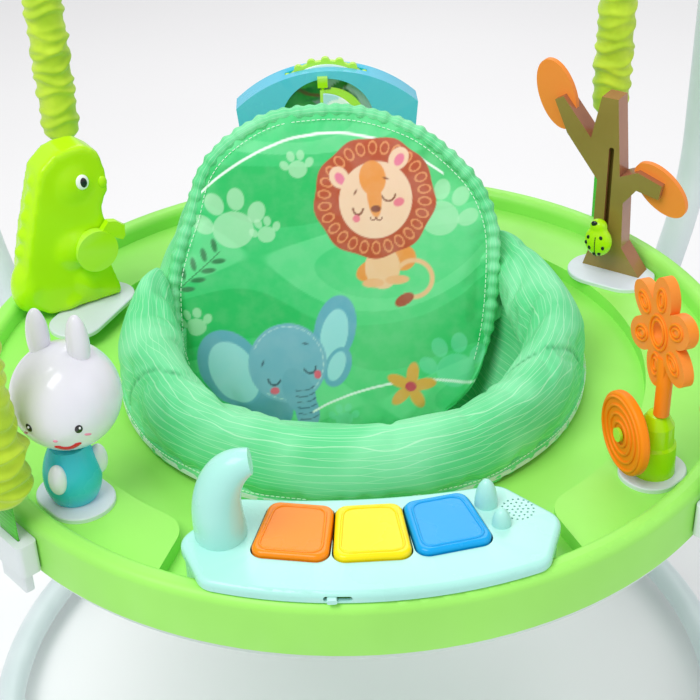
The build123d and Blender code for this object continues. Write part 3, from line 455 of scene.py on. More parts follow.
def fill_out(piece, pinned, cap, pressure=4.0, slack=0.03, frames=20):
    scene = bpy.context.scene
    before = np.zeros(len(piece.data.vertices) * 3)
    piece.data.vertices.foreach_get("co", before)
    group = piece.vertex_groups.new(name="seams")
    group.add([int(i) for i in pinned], 1.0, "REPLACE")
    cloth = piece.modifiers.new("cloth", "CLOTH")
    cloth.settings.quality = 6
    cloth.settings.mass = 0.15
    cloth.settings.use_pressure = True
    cloth.settings.uniform_pressure_force = pressure
    cloth.settings.effector_weights.gravity = 0
    cloth.settings.vertex_group_mass = "seams"
    cloth.settings.shrink_min = -slack
    cloth.settings.bending_stiffness = 0.2
    cloth.collision_settings.use_collision = False
    cloth.point_cache.frame_start = 1
    cloth.point_cache.frame_end = frames
    for step in range(1, frames + 1):
        scene.frame_set(step)
    shaped = piece.evaluated_get(bpy.context.evaluated_depsgraph_get())
    after = np.zeros_like(before)
    shaped.data.vertices.foreach_get("co", after)
    piece.modifiers.remove(cloth)
    piece.vertex_groups.clear()
    scene.frame_set(1)
    move = (after - before).reshape(-1, 3)
    length = np.linalg.norm(move, axis=1)
    move *= (np.minimum(length, cap) / np.maximum(length, 1e-9))[:, None]
    piece.data.vertices.foreach_set("co", before + move.ravel())
    piece.data.update()
    print(f"{piece.name}: filled, moved up to {length.max() * 1000:.1f} mm, kept to {cap * 1000:.0f} mm")


def finer(piece, levels=1):
    """Applies one subdivision, which rounds the creases."""
    smooth = piece.modifiers.new("smooth", "SUBSURF")
    smooth.levels = smooth.render_levels = levels
    settled(piece)


# %% [markdown]
# ## Printed cloth
# The seat's face is a printed polyester. A print is flat shapes laid over each other in order, so it is
# built that way: each spot is a stretched, turned circle, found by its distance in a squashed space, and
# mixed over what is under it. Places are in millimetres on the flat cloth. The colour is kept on the
# mesh's points, so the mesh is made finer where a picture goes.

# %% Printing helpers


def flat_mm(tree):
    flat = add(tree, "Attribute", attribute_name="flat").outputs["Vector"]
    return add(tree, "VectorMath", flat, (1000, 1000, 1000), operation="MULTIPLY").outputs[0]


def smooth_step(value, low, high):
    """0 below low, 1 above high, and smooth between them."""
    t = np.clip((value - low) / (high - low), 0, 1)
    return t * t * (3 - 2 * t)


class Print:
    """A picture under way on a cloth's points: spots, arcs and lines are laid over its colour in turn."""

    def __init__(self, where):
        self.x, self.y = where[:, 0], where[:, 1]
        self.colour = np.ones((len(where), 4))

    def lay(self, mask, code, opacity=1.0):
        amount = (mask * opacity)[:, None]
        self.colour = self.colour * (1 - amount) + np.array(hexa(code)) * amount

    def local(self, x, y, wide, high, turn):
        c, s = cos(radians(turn)), sin(radians(turn))
        dx, dy = self.x - x, self.y - y
        return (dx * c + dy * s) / wide, (dy * c - dx * s) / high

    def spot(self, x, y, wide, high, code, turn=0.0, opacity=1.0, soft=0.6):
        edge = soft / min(wide, high)
        far = np.hypot(*self.local(x, y, wide, high, turn))
        self.lay(1 - smooth_step(far, 1 - edge, 1 + edge), code, opacity)

    def arc(self, x, y, wide, high, code, turn=0.0, line=1.0, from_=0.15, opacity=1.0):
        """The part of an oval line that lies below its middle, after the turn."""
        across, up = self.local(x, y, wide, high, turn)
        off = np.abs(np.hypot(across, up) - 1) * min(wide, high)
        below = 1 - smooth_step(up, -from_, 0.15 - from_)
        self.lay((1 - smooth_step(off, line * 0.35, line * 0.95)) * below, code, opacity)

    def line(self, height, code, half=0.9, opacity=1.0, start=-1e3, end=1e3):
        """A drawn line whose height is a function of x."""
        mask = 1 - smooth_step(np.abs(self.y - height(self.x)), half * 0.6, half * 1.5)
        mask *= smooth_step(self.x, start, start + 1.5) * (1 - smooth_step(self.x, end - 1.5, end))
        self.lay(mask, code, opacity)

    def paw(self, x, y, size, turn=0.0, code="C9F7D0", opacity=0.55):
        c, s = cos(radians(turn)), sin(radians(turn))
        toes = ((-1.35, 0.55, 35), (-0.55, 1.42, 10), (0.5, 1.45, -10), (1.32, 0.6, -35))
        self.spot(x, y, size, size * 0.92, code, turn, opacity)
        for dx, dy, lean in toes:
            self.spot(x + (dx * c - dy * s) * size, y + (dx * s + dy * c) * size, size * 0.42, size * 0.56,
                      code, turn + lean, opacity)

    def onto(self, piece):
        layer = piece.data.attributes.new("print", "FLOAT_COLOR", "POINT")
        layer.data.foreach_set("color", self.colour.astype(np.float32).ravel())


def bands(tree, flat, direction, scale, distortion=0.0):
    """Parallel threads or ribs, as a height from 0 to 1."""
    return add(tree, "TexWave", wave_type="BANDS", bands_direction=direction, Vector=flat, Scale=scale,
               Distortion=distortion).outputs["Fac"]


def weave(tree, shader, flat, strength=0.25):
    """A fine plain weave: two crossed sets of threads, as bump."""
    height = None
    for direction in ("X", "Y"):
        threads = bands(tree, flat, direction, 0.55, 0.3)
        height = threads if height is None else maths(tree, "MULTIPLY", height, threads)
    crumple = noise(tree, flat, 0.045, 4.0)
    set_bump(tree, shader, maths(tree, "MULTIPLY_ADD", crumple, 3.0, height), strength, 0.0006)


# %% [markdown]
# ## The seat back's picture
# A sleeping lion and a sleeping elephant on hills of green, with paw prints, a sprig, a flower and a
# white string. They are drawn with the spots and arcs above, from back to front.

# %% Seat print


def hills(x, y):
    """The height of a slow landscape, whose contours are the picture's bands."""
    tilted = y - 0.16 * x
    return (np.sin(tilted / 21 + 1.1 * np.sin(x / 71 + 0.6)) + 0.6 * np.sin(tilted / 37 - x / 58 + 2.0)
            + 0.35 * np.sin(x / 33 + tilted / 60))


def draw_land(art):
    land = hills(art.x, art.y)
    art.lay(np.ones_like(land), "1FC265")
    art.lay(smooth_step(land, -0.62, -0.56), "36CE76")
    art.lay(smooth_step(land, 0.05, 0.11), "5FDD8F")
    art.lay(smooth_step(land, 0.78, 0.84), "45D480")
    art.lay(smooth_step(np.sin(art.x / 47 - art.y / 90 + 0.5), -0.4, 1.4) * 0.4, "86EBA6")
    art.line(lambda x: 140.0 - 0.1 * x - 0.0040 * x ** 2, "F4FFF8", 1.2, 1.0, -150, 92)
    for print_ in (
            (-100, 56, 18, 12), (-71, 51, 8, 14), (-40, 109, 8.5, 6), (-137, -32, 8.5, 12)):
        art.paw(*print_)
    art.paw(86, 58, 17, -28, opacity=0.45)
    art.paw(96, -84, 17, 10, "7FE8C4", 0.4)
    art.paw(-8, -128, 8, 0, "7FE8C4", 0.4)
    for k in range(9):                        # the sprig: a stem with leaves on both sides
        along = k / 8
        side = -1 if k % 2 else 1
        x, y = -150 + 36 * along, 3 + 34 * along
        art.spot(x - 5.0 * side * 0.75, y + 5.0 * side, 2.3, 6.0, "1E6B3C", 8 if side > 0 else -82, 0.85)
    art.line(lambda x: 145.0 + 0.96 * x, "1E6B3C", 0.5, 0.9, -152, -112)


def draw_lion(art):
    for oval in (
            (22, 14, 14, 9, "F39A45", 25), (52, 24, 12, 12, "F39A45"), (33, 16, 16, 20, "F9C79B"),
            (24, 2, 10, 4.2, "F7B883"), (46, 4, 11, 4.2, "F7B883")):
        art.spot(*oval)
    art.arc(61, 4, 17, 17, "F7C08E", 100, 3.2, -0.55)
    art.spot(52, -15, 9.5, 5.2, "B14A28", 28)
    across, up = art.local(28, 80, 1, 1, 0)
    ruffle = 1.2 * np.sin(9 * np.arctan2(up, across))
    art.lay(1 - smooth_step(np.hypot(across, up) + ruffle, 54.0, 55.2), "BE4F2B")
    for k in range(26):                       # curls
        angle = 2 * pi * (k + 0.5) / 26
        x, y = 28 + 45.5 * cos(angle), 80 + 45.5 * sin(angle)
        art.arc(x, y, 3.6, 5.4, "EE9A63", degrees(angle) - 90, 1.0, -2.0, 0.9)
    for x, y, lean in ((-3, 100, 30), (51, 114, -32)):
        art.spot(x, y, 8.5, 10.5, "FBD2B4", lean)
        art.spot(x + 0.5, y - 1, 4.0, 6.0, "F27FA0", lean)
    for oval in (
            (29, 78, 33, 35, "FBD2B4", -8), (27, 98, 12, 16, "F49A48", 6), (28, 82, 6.5, 20, "F49A48", 4),
            (29, 70, 4.6, 3.2, "8A3F26")):
        art.spot(*oval)
    for curve in (
            (26.2, 63.5, 2.8, 3.6, "8A3F26", 0, 0.8), (31.8, 63.0, 2.8, 3.6, "8A3F26", 0, 0.8),
            (13, 72, 4.6, 6.5, "8A4A30", -6, 1.2), (41, 83, 6.0, 6.5, "8A4A30", 2, 1.2)):
        art.arc(*curve)
    for oval in (
            (11, 86, 0.9, 2.6, "8A4A30", -30), (39, 97, 0.9, 2.6, "8A4A30", 70),
            (11, 62, 3.4, 3.4, "F27F92"), (50, 75, 5.0, 3.8, "F27F92", 20)):
        art.spot(*oval)


def draw_elephant(art):
    for oval in (
            (-88, -120, 34, 26, "63A9C2", 24), (-109, -72, 27, 38, "69B1CC", 24),
            (-107, -76, 20, 31, "A5E2EC", 24), (-13, -40, 19, 33, "69B1CC", -14),
            (-14, -45, 12.5, 25, "A5E2EC", -14), (-12, -76, 12, 20, "69B1CC", -22),
            (-13, -75, 7.5, 15, "A5E2EC", -22), (-58, -70, 36, 38, "7DB9D3")):
        art.spot(*oval)
    for k in range(26):                       # a running stitch round the head
        angle = radians(150 - 11 * k)
        x, y = -58 + 33 * cos(angle), -70 + 35 * sin(angle)
        art.spot(x, y, 1.9, 0.5, "D7F0F4", degrees(angle) + 90, 0.8)
    art.spot(-49, -98, 14, 24, "74B2CD", 20)
    art.spot(-42, -118, 11, 18, "74B2CD", 4)
    for k in range(6):
        art.arc(-44 + 0.6 * k, -94 - 5.6 * k, 8.5, 3.0, "44748C", 10, 0.7, 0.3)
    art.arc(-71, -84, 5.5, 6.5, "3E5F74", -6, 1.3)
    art.arc(-38, -74, 5.5, 6.5, "3E5F74", 10, 1.3)
    for oval in (
            (-81, -69, 0.9, 3.0, "3E5F74", -22), (-41, -52, 0.9, 2.8, "3E5F74", 78),
            (-71, -96, 4.2, 3.6, "F0647E"), (-31, -82, 3.4, 4.2, "F0647E")):
        art.spot(*oval)


def draw_flower_and_string(art):
    art.line(lambda x: -103.0 + 0.32 * x - 0.0024 * x ** 2, "F4FFF8", 1.1, 1.0, -38, 124)
    for k in range(5):
        angle = radians(80 + 72 * k)
        art.spot(55 + 12 * cos(angle), -98 + 12 * sin(angle), 11.5, 5.6, "F1B04C", degrees(angle))
    art.spot(55, -98, 5.2, 4.8, "D9485C", 0)


def printed_cloth():
    made, tree, shader, _ = blank("printed polyester")
    where = flat_mm(tree)
    ink = add(tree, "Attribute", attribute_name="print").outputs["Color"]
    faded = ramp(tree, noise(tree, where, 0.05, 3.0), 0.35, 0.7, 0.0, 0.05)
    surface(tree, shader, blend_colour(tree, faded, ink, (1, 1, 1, 1)), 0.62, sheen=0.06)
    shader.inputs["Sheen Roughness"].default_value = 0.45
    weave(tree, shader, where, 0.22)
    return made


def grain_cloth(name="wood grain cloth", pitch=7.0):
    """Light green polyester with thin pale lines that run along the piece like wood grain."""
    made, tree, shader, _ = blank(name)
    where = flat_mm(tree)
    stretch = add(tree, "Mapping", Vector=where, Scale=(0.012, 0.035, 1.0)).outputs[0]
    drift = maths(tree, "MULTIPLY", noise(tree, stretch, 1.0, 1.0), 3.4)
    across = add(tree, "SeparateXYZ", where).outputs["Y"]
    near = []                                 # how near a point is to a line of each set
    for per_mm, wander in ((1 / pitch, drift), (1.3 / pitch, maths(tree, "MULTIPLY", drift, -0.8))):
        step = maths(tree, "FRACT", maths(tree, "MULTIPLY_ADD", across, per_mm, wander))
        near.append(maths(tree, "ABSOLUTE", maths(tree, "SUBTRACT", step, 0.5)))
    weaker = maths(tree, "MULTIPLY", ramp(tree, near[1], 0.03, 0.07, 1.0, 0.0), 0.6)
    lines = maths(tree, "MAXIMUM", ramp(tree, near[0], 0.025, 0.06, 1.0, 0.0), weaker)
    patch = ramp(tree, noise(tree, where, 0.014, 2.0), 0.35, 0.65)
    body = blend_colour(tree, patch, hexa("5AD68C"), hexa("84E6AA"))
    body = blend_colour(tree, maths(tree, "MULTIPLY", lines, 0.46), body, hexa("CDF8D6"))
    # Painted shade: the cloth darkens to deep green where the points carry a seam groove's shade.
    seam = add(tree, "Attribute", attribute_name="seam").outputs["Fac"]
    surface(tree, shader, blend_colour(tree, seam, body, hexa("1C9455")), 0.62, sheen=0.06)
    shader.inputs["Sheen Roughness"].default_value = 0.45
    weave(tree, shader, where, 0.2)
    return made


printed = printed_cloth()
grained = grain_cloth()
striped = grain_cloth("binding cloth", 3.6)

# %% [markdown]
# ## The seat back
# The back is a round, nearly flat cushion that leans away from the child, with its picture on the front.
# Its outline goes into a disc of points without a pole: a square grid squeezed into a circle, so the
# cloth simulation sees even squares. Its sides come forward a little, to the arms of the bolster.

# %% Back cushion
BACK_LEAN = radians(20)
BACK_AT_RIM = 0.100        # how far behind the middle the back's face crosses the rim's height
BACK_CROWN, BACK_REAR = 0.006, 0.012     # how far the two faces stand out before filling
WING, WING_HALF = 0.024, 0.15            # how far the sides come forward, and the half width for it
BACK_MIDDLE = np.array([-0.008, 0.015])
BACK_OUTLINE = np.array([  # mm, across and up the face
    (139, 17), (136, 57), (119, 94), (82, 132), (48, 151), (10, 162), (-30, 163), (-67, 157), (-104, 136),
    (-128, 108), (-141, 70), (-153, 38), (-161, 6), (-162, -30), (-160, -62), (-144, -100), (-100, -138),
    (-20, -150), (40, -148), (88, -128), (118, -96), (133, -45)]) * MM
toward_eye = np.array(toward)
face_normal = np.array([0, -cos(BACK_LEAN), sin(BACK_LEAN)])


def back_face(x, v):
    """A point on the front of the back, without its crown."""
    flat = np.stack([x, BACK_AT_RIM + v * sin(BACK_LEAN), RIM + v * cos(BACK_LEAN)], axis=-1)
    wing = WING * (np.abs(x - BACK_MIDDLE[0]) / WING_HALF) ** 2.2
    return flat + wing[..., None] * toward_eye


rim_line = smooth_loop(BACK_OUTLINE, 720) - BACK_MIDDLE
rim_angle = np.unwrap(np.arctan2(rim_line[:, 1], rim_line[:, 0]))
rim_reach = np.hypot(rim_line[:, 0], rim_line[:, 1])


def reach(angle):
    """How far the outline is from its middle in the direction of the angle."""
    start = rim_angle[0]
    return np.interp((angle - start) % (2 * pi) + start, rim_angle, rim_reach)


BACK_GRID = 64
side = np.linspace(-1, 1, BACK_GRID)
gs, gt = np.meshgrid(side, side, indexing="ij")
da, db = gs * np.sqrt(1 - gt ** 2 / 2), gt * np.sqrt(1 - gs ** 2 / 2)
rho, theta = np.hypot(da, db), np.arctan2(db, da)
grow = rho * reach(theta)
back_x, back_v = BACK_MIDDLE[0] + grow * np.cos(theta), BACK_MIDDLE[1] + grow * np.sin(theta)
on_face = back_face(back_x, back_v)
thick = (1 - rho ** 2.6).clip(0, 1)
front = on_face + (BACK_CROWN * thick)[..., None] * face_normal
rear = on_face - (BACK_REAR * thick)[..., None] * face_normal
count = BACK_GRID ** 2
grid_faces = quads(BACK_GRID, BACK_GRID)
verts = np.vstack([front.reshape(-1, 3), rear.reshape(-1, 3)])
faces = grid_faces + [tuple(i + count for i in face[::-1]) for face in grid_faces]
flat = np.stack([back_x.ravel(), back_v.ravel()], axis=1)
seat_back_cushion = finish_piece("seat_back_cushion", verts, faces, "seat", printed, "seat_fabric",
                                 np.vstack([flat, flat]))
face_outwards(seat_back_cushion)


def flat_of(piece):
    """Each point's place on the flat cloth, in metres."""
    out = np.zeros(len(piece.data.vertices) * 3)
    piece.data.attributes["flat"].data.foreach_get("vector", out)
    return out.reshape(-1, 3)[:, :2]


from_middle = flat_of(seat_back_cushion) - BACK_MIDDLE
how_far = np.hypot(*from_middle.T) / reach(np.arctan2(from_middle[:, 1], from_middle[:, 0]))
fill_out(seat_back_cushion, np.flatnonzero(how_far > 0.985), 0.006, pressure=3.0, slack=0.03)
finer(seat_back_cushion)
with shape_of(seat_back_cushion) as shape:     # the face with the picture gets one more division
    shape.normal_update()
    seen = [face for face in shape.faces if face.normal.dot(Vector(face_normal)) > 0.2]
    bmesh.ops.subdivide_edges(shape, edges=list({edge for face in seen for edge in face.edges}), cuts=1,
                              use_grid_fill=True, smooth=0.0)
picture = Print(flat_of(seat_back_cushion) * 1000)
for draw in (draw_land, draw_lion, draw_elephant, draw_flower_and_string):
    draw(picture)
picture.onto(seat_back_cushion)
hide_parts("seat_back")

# %% [markdown]
# ## The binding round the back
# A gathered strip of the striped cloth binds the upper edge. It is a tube swept along the outline whose
# section swells and shrinks where the elastic pulls it in, so the puckers are real.

# %% Binding
BINDING_R = 0.0062
BINDING_STEPS = 340
PUCKER, SLOW_PUCKER = 0.0115, 0.0187     # from pucker to pucker along the edge


def back_edge(start, end, steps, out=0.0, behind=0.0):
    """Points round the back's edge between two angles, in degrees from its right-hand side."""
    angle = np.radians(np.linspace(start, end, steps))
    far = reach(angle) + out
    points = back_face(BACK_MIDDLE[0] + far * np.cos(angle), BACK_MIDDLE[1] + far * np.sin(angle))
    return points - behind * face_normal


edge_line, edge_along = spaced(back_edge(-38, 212, 400, -0.003, 0.004), BINDING_STEPS)


def binding_section(i):
    along = edge_along[i]
    pull = 1 + 0.13 * sin(2 * pi * along / PUCKER) + 0.07 * sin(2 * pi * along / SLOW_PUCKER + 1)
    ends = min(1.0, 0.35 + 14 * min(along, edge_along[-1] - along))
    return circle(BINDING_R * pull * ends, 14) * np.array([1.0, 1.25])


tube("back_binding", edge_line, binding_section, "seat", striped, "seat_fabric", up=face_normal,
     along=edge_along, round_=0.04)

# %% [markdown]
# ## The back's shell
# Behind the picture the same light green cloth runs down to the seat's ring, pulled tight over the foam.
# It is lofted from the back's upper edge to an arc of the ring, with a belly between them.

# %% Back shell
SHELL_FROM, SHELL_TO = -24.0, 204.0
SHELL_COLUMNS, SHELL_ROWS = 150, 40
SHELL_FOOT_R, SHELL_FOOT_DROP = 0.199, 0.018     # where the cloth meets the ring
upper = back_edge(SHELL_FROM, SHELL_TO, SHELL_COLUMNS, -0.004, 0.008)
ring_angle = np.radians(np.linspace(30, 162, SHELL_COLUMNS))
lower = np.stack([SHELL_FOOT_R * np.cos(ring_angle), SHELL_FOOT_R * np.sin(ring_angle),
                  np.full(SHELL_COLUMNS, RIM - SHELL_FOOT_DROP)], axis=1)
shell_points, shell_flat = [], []
for row in range(SHELL_ROWS):
    t = row / (SHELL_ROWS - 1)
    line = upper * (1 - t) + lower * t
    belly = sin(pi * t) ** 0.8
    outwards = line[:, :2] / np.linalg.norm(line[:, :2], axis=1)[:, None]
    height = np.abs(upper[:, 2] - lower[:, 2])
    line[:, :2] += outwards * (belly * (0.010 + 0.16 * height))[:, None]
    fold = 0.0016 * np.sin(ring_angle * 46 + 2.0 * np.sin(6 * t)) * (1 - t) ** 2
    line[:, :2] += outwards * fold[:, None]
    shell_points.append(line)
    shell_flat.append(np.stack([ring_angle * 0.2, np.full(SHELL_COLUMNS, t * 0.17)], axis=1))
seat_back_shell = finish_piece(
    "seat_back_shell", np.array(shell_points).reshape(-1, 3), quads(SHELL_ROWS, SHELL_COLUMNS), "seat",
    grained, "seat_fabric", np.array(shell_flat).reshape(-1, 2))
wall(seat_back_shell, 0.003)
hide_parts("seat_back")

# %% [markdown]
# ## The bolster
# A fat foam roll goes round the child's front and sides. Its section is a rounded wedge, swept round
# most of a circle, and it is sewn from three panels. The seams between them, and two tucks, are pulled
# in as grooves before the cover is filled out. The seam grooves get a painted shade of darker green.

# %% Bolster
BOLSTER_SECTION = np.array([  # mm from the axis and above the rim, once round
    (197, -22), (199, -8), (196, 10), (187, 27), (173, 35), (159, 28), (149, 15), (146, 0), (148, -16),
    (160, -23), (180, -24)]) * MM
BOLSTER_FROM, BOLSTER_TO = 148.0, 407.0
BOLSTER_STEPS, BOLSTER_ROUND = 210, 44
PANEL_SEAMS = (209.0, 333.0)     # azimuths of the seams at the front panel's ends
TUCKS = (277.0, 312.0, 236.0)    # short darts in the top edge
section_line, section_along = spaced(smooth_loop(BOLSTER_SECTION, 400), BOLSTER_ROUND, closed=True)
around = np.radians(np.linspace(BOLSTER_FROM, BOLSTER_TO, BOLSTER_STEPS))
middle = np.array([0.173, 0.006])
SEAM_LEAN, INNER_R = 10, 0.150   # degrees that a seam leans over the top, and the tucks' radius
bolster_points, bolster_flat, seam_shade, pinned = [], [], [], []
for i, angle in enumerate(around):
    arc = degrees(angle)
    degrees_in = min(arc - BOLSTER_FROM, BOLSTER_TO - arc)
    end = 1 - 0.55 * max(0.0, 1 - degrees_in / 7) ** 2
    for j, (r, z) in enumerate(section_line):
        top = max(0.0, (z + 0.012) / 0.05)                    # seams curve forwards over the top
        groove = 0.0
        for k, seam in enumerate(PANEL_SEAMS):
            lean = (SEAM_LEAN if k else -SEAM_LEAN) * (r - middle[0]) / 0.025
            groove = max(groove, np.exp(-((arc - seam - lean) * 3.4 / 2.4) ** 2))
        dart = 0.0
        for tuck in TUCKS:
            inner = np.exp(-((r - INNER_R) / 0.016) ** 2) * min(1.0, top)
            dart = max(dart, inner * np.exp(-((arc - tuck) * 3.0 / 3.6) ** 2))
        ease = 0.0035 * groove + 0.0065 * dart
        dr, dz = (r - middle[0]) * end, (z - middle[1]) * end
        shrink = 1 - ease / max(hypot(dr, dz), 1e-6)
        rr, zz = middle[0] + dr * shrink, middle[1] + dz * shrink
        thin = max(0.0, 1 - (degrees_in - 4) / 34) ** 1.5 if degrees_in > 4 else 1.0
        rr += thin * (0.190 + (rr - middle[0]) * 0.30 - rr)
        zz += thin * 0.008 * (zz > 0) - 0.022 * max(0.0, 1 - degrees_in / 12) ** 2 * (zz > 0)
        bolster_points.append((rr * cos(angle), rr * sin(angle), RIM + zz))
        bolster_flat.append((angle * 0.18, section_along[j]))
        # Painted shade in the seam groove, darker where the groove is deeper.
        seam_shade.append(0.8 * groove ** 2)
        if groove > 0.8 or dart > 0.7 or z < -0.019 or i in (0, BOLSTER_STEPS - 1):
            pinned.append(i * BOLSTER_ROUND + j)
faces = quads(BOLSTER_STEPS, BOLSTER_ROUND, False, True)
faces += [tuple(range(BOLSTER_ROUND))[::-1],
          tuple(range((BOLSTER_STEPS - 1) * BOLSTER_ROUND, BOLSTER_STEPS * BOLSTER_ROUND))]
seat_bolster_pad = finish_piece("seat_bolster_pad", bolster_points, faces, "seat", grained, "seat_fabric",
                                np.array(bolster_flat))
# The seam grooves' painted shade is kept on the points for the cloth's shader.
seams = seat_bolster_pad.data.attributes.new("seam", "FLOAT", "POINT")
seams.data.foreach_set("value", np.array(seam_shade, dtype=np.float32))
with shape_of(seat_bolster_pad) as shape:
    bmesh.ops.recalc_face_normals(shape, faces=shape.faces)
fill_out(seat_bolster_pad, pinned, 0.006, pressure=4.0, slack=0.05)
finer(seat_bolster_pad)
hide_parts("seat_bolster")

# %% [markdown]
# A flat strip with diagonal stripes closes the bolster's lower edge, and stands out below it like a hem.

# %% Hem of the bolster
HEM_R = 0.1985
hem_angle = np.radians(np.linspace(BOLSTER_FROM - 2, BOLSTER_TO + 2, 300))
hem_line = np.stack([HEM_R * np.cos(hem_angle), HEM_R * np.sin(hem_angle),
                     RIM - 0.0215 + 0.0012 * np.sin(hem_angle * 13)], axis=1)
hem_along = hem_angle * 0.2


def hem_section(i):
    pull = 1 + 0.10 * sin(hem_along[i] * 2 * pi / 0.019) + 0.06 * sin(hem_along[i] * 2 * pi / 0.0113)
    return circle(0.0042 * pull, 10) * np.array([0.8, 1.5])


tube("bolster_hem", hem_line, hem_section, "seat", striped, "seat_fabric", along=hem_along, round_=0.03)

# %% [markdown]
# ## The bucket
# The child sits in a deep cloth bucket below the ring, with two bound leg holes. It is a grid turned
# about the seat's axis with slow sags between the places where it hangs, and the cells inside each leg
# hole are taken out before the cloth gets its thickness.

# %% Bucket
BUCKET_PROFILE = np.array([  # mm from the axis and above the rim
    (168, -21), (163, -60), (150, -100), (131, -140), (111, -172), (90, -188), (50, -193), (14, -194)]) * MM
BUCKET_ROWS, BUCKET_COLUMNS = 60, 176
LEG_HOLE_R = 0.044
HOLE_TURN = 38             # degrees from the front to a leg hole
HOLE_SQUASH = 1.18         # how much wider than high a leg hole is
bucket_line, bucket_along = spaced(smooth_loop(BUCKET_PROFILE, 300, closed=False), BUCKET_ROWS)
hole_middles = []
for turn in (-HOLE_TURN, HOLE_TURN):
    a = radians(270 + SEAT_TURN + turn)
    hole_middles.append(np.array([cos(a), sin(a)]))
bucket_points, bucket_flat = [], []
for i, (r, z) in enumerate(bucket_line):
    for j in range(BUCKET_COLUMNS):
        a = 2 * pi * j / BUCKET_COLUMNS
        sag = sin(min(1.0, bucket_along[i] / 0.2) * pi) * (0.0022 * sin(9 * a + 1.3) + 0.0014 * sin(23 * a))
        rr = r + sag * min(1.0, r / 0.08)
        bucket_points.append((rr * cos(a), rr * sin(a), RIM + z))
        bucket_flat.append((a * 0.12, bucket_along[i]))
bucket_points = np.array(bucket_points)
HOLE_HEIGHT = RIM - 0.128


def beside(out):
    """The level direction along the wall, where out points out of it."""
    return np.array([-out[1], out[0]])


def across_hole(points, out):
    """Each point's offset from the middle of a leg hole, along the wall and up it."""
    return np.stack([points[:, :2] @ beside(out), (points[:, 2] - HOLE_HEIGHT) * HOLE_SQUASH], axis=1)


inside = np.zeros(len(bucket_points), dtype=bool)
for out in hole_middles:
    offset = across_hole(bucket_points, out)
    far = np.hypot(*offset.T)
    facing = bucket_points[:, :2] @ out > 0.05
    inside |= facing & (far < LEG_HOLE_R)
    near = facing & (far >= LEG_HOLE_R) & (far < LEG_HOLE_R * 1.16)
    pull = (LEG_HOLE_R / far[near] - 1)[:, None] * offset[near]
    bucket_points[near, :2] += pull[:, :1] * beside(out)
    bucket_points[near, 2] += pull[:, 1] / HOLE_SQUASH
faces = [face for face in quads(BUCKET_ROWS, BUCKET_COLUMNS, False, True)
         if not any(inside[i] for i in face)]
faces.append(tuple(range((BUCKET_ROWS - 1) * BUCKET_COLUMNS, BUCKET_ROWS * BUCKET_COLUMNS)))
seat_bucket_cloth = finish_piece("seat_bucket_cloth", bucket_points, faces, "seat", grained, "seat_fabric",
                                 np.array(bucket_flat))
with shape_of(seat_bucket_cloth) as shape:
    bmesh.ops.delete(shape, geom=[v for v in shape.verts if not v.link_faces], context="VERTS")
    bmesh.ops.recalc_face_normals(shape, faces=shape.faces)
wall(seat_bucket_cloth, 0.0025)
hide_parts("seat_bucket")


def hole_ring(out, name):
    """The binding of a leg hole: a ring that lies on the bucket's wall."""
    turn = np.linspace(0, 2 * pi, 72, endpoint=False)
    points = []
    for t in turn:
        across_, up_ = LEG_HOLE_R * cos(t), LEG_HOLE_R * sin(t) / HOLE_SQUASH
        z = HOLE_HEIGHT + up_
        r = np.interp(-(z - RIM), -bucket_line[:, 1], bucket_line[:, 0])
        depth = np.sqrt(max(r * r - across_ * across_, 0.0))
        points.append((*(out * depth + beside(out) * across_), z))
    tube(name, np.array(points), lambda i: circle(0.0042 * (1 + 0.1 * sin(i * 1.9)), 10), "seat", striped,
         "seat_fabric", closed=True, up=(*out, 0.001), along=turn * LEG_HOLE_R, round_=0.03)


hole_ring(hole_middles[0], "leg_binding_left")
hole_ring(hole_middles[1], "leg_binding_right")

# %% [markdown]
# ## Sleeves over the springs
# Each bounce spring hides in a loose sleeve of yellow green cloth, longer than the spring, so that it
# bunches up as the tray rises. The bunches are rings of folds that wander round the sleeve, each one a
# little different. The two front sleeves hang almost to the rim, and slump at the bottom.

# %% Spring sleeves


def sleeve_cloth():
    made, tree, shader, _ = blank("sleeve cloth")
    where = flat_mm(tree)
    patch = ramp(tree, noise(tree, where, 0.03, 3.0), 0.3, 0.7)
    body = blend_colour(tree, patch, hexa("A8CE12"), hexa("C8E62C"))
    surface(tree, shader, body, 0.66, sheen=0.3)
    weave(tree, shader, where, 0.25)
    return made


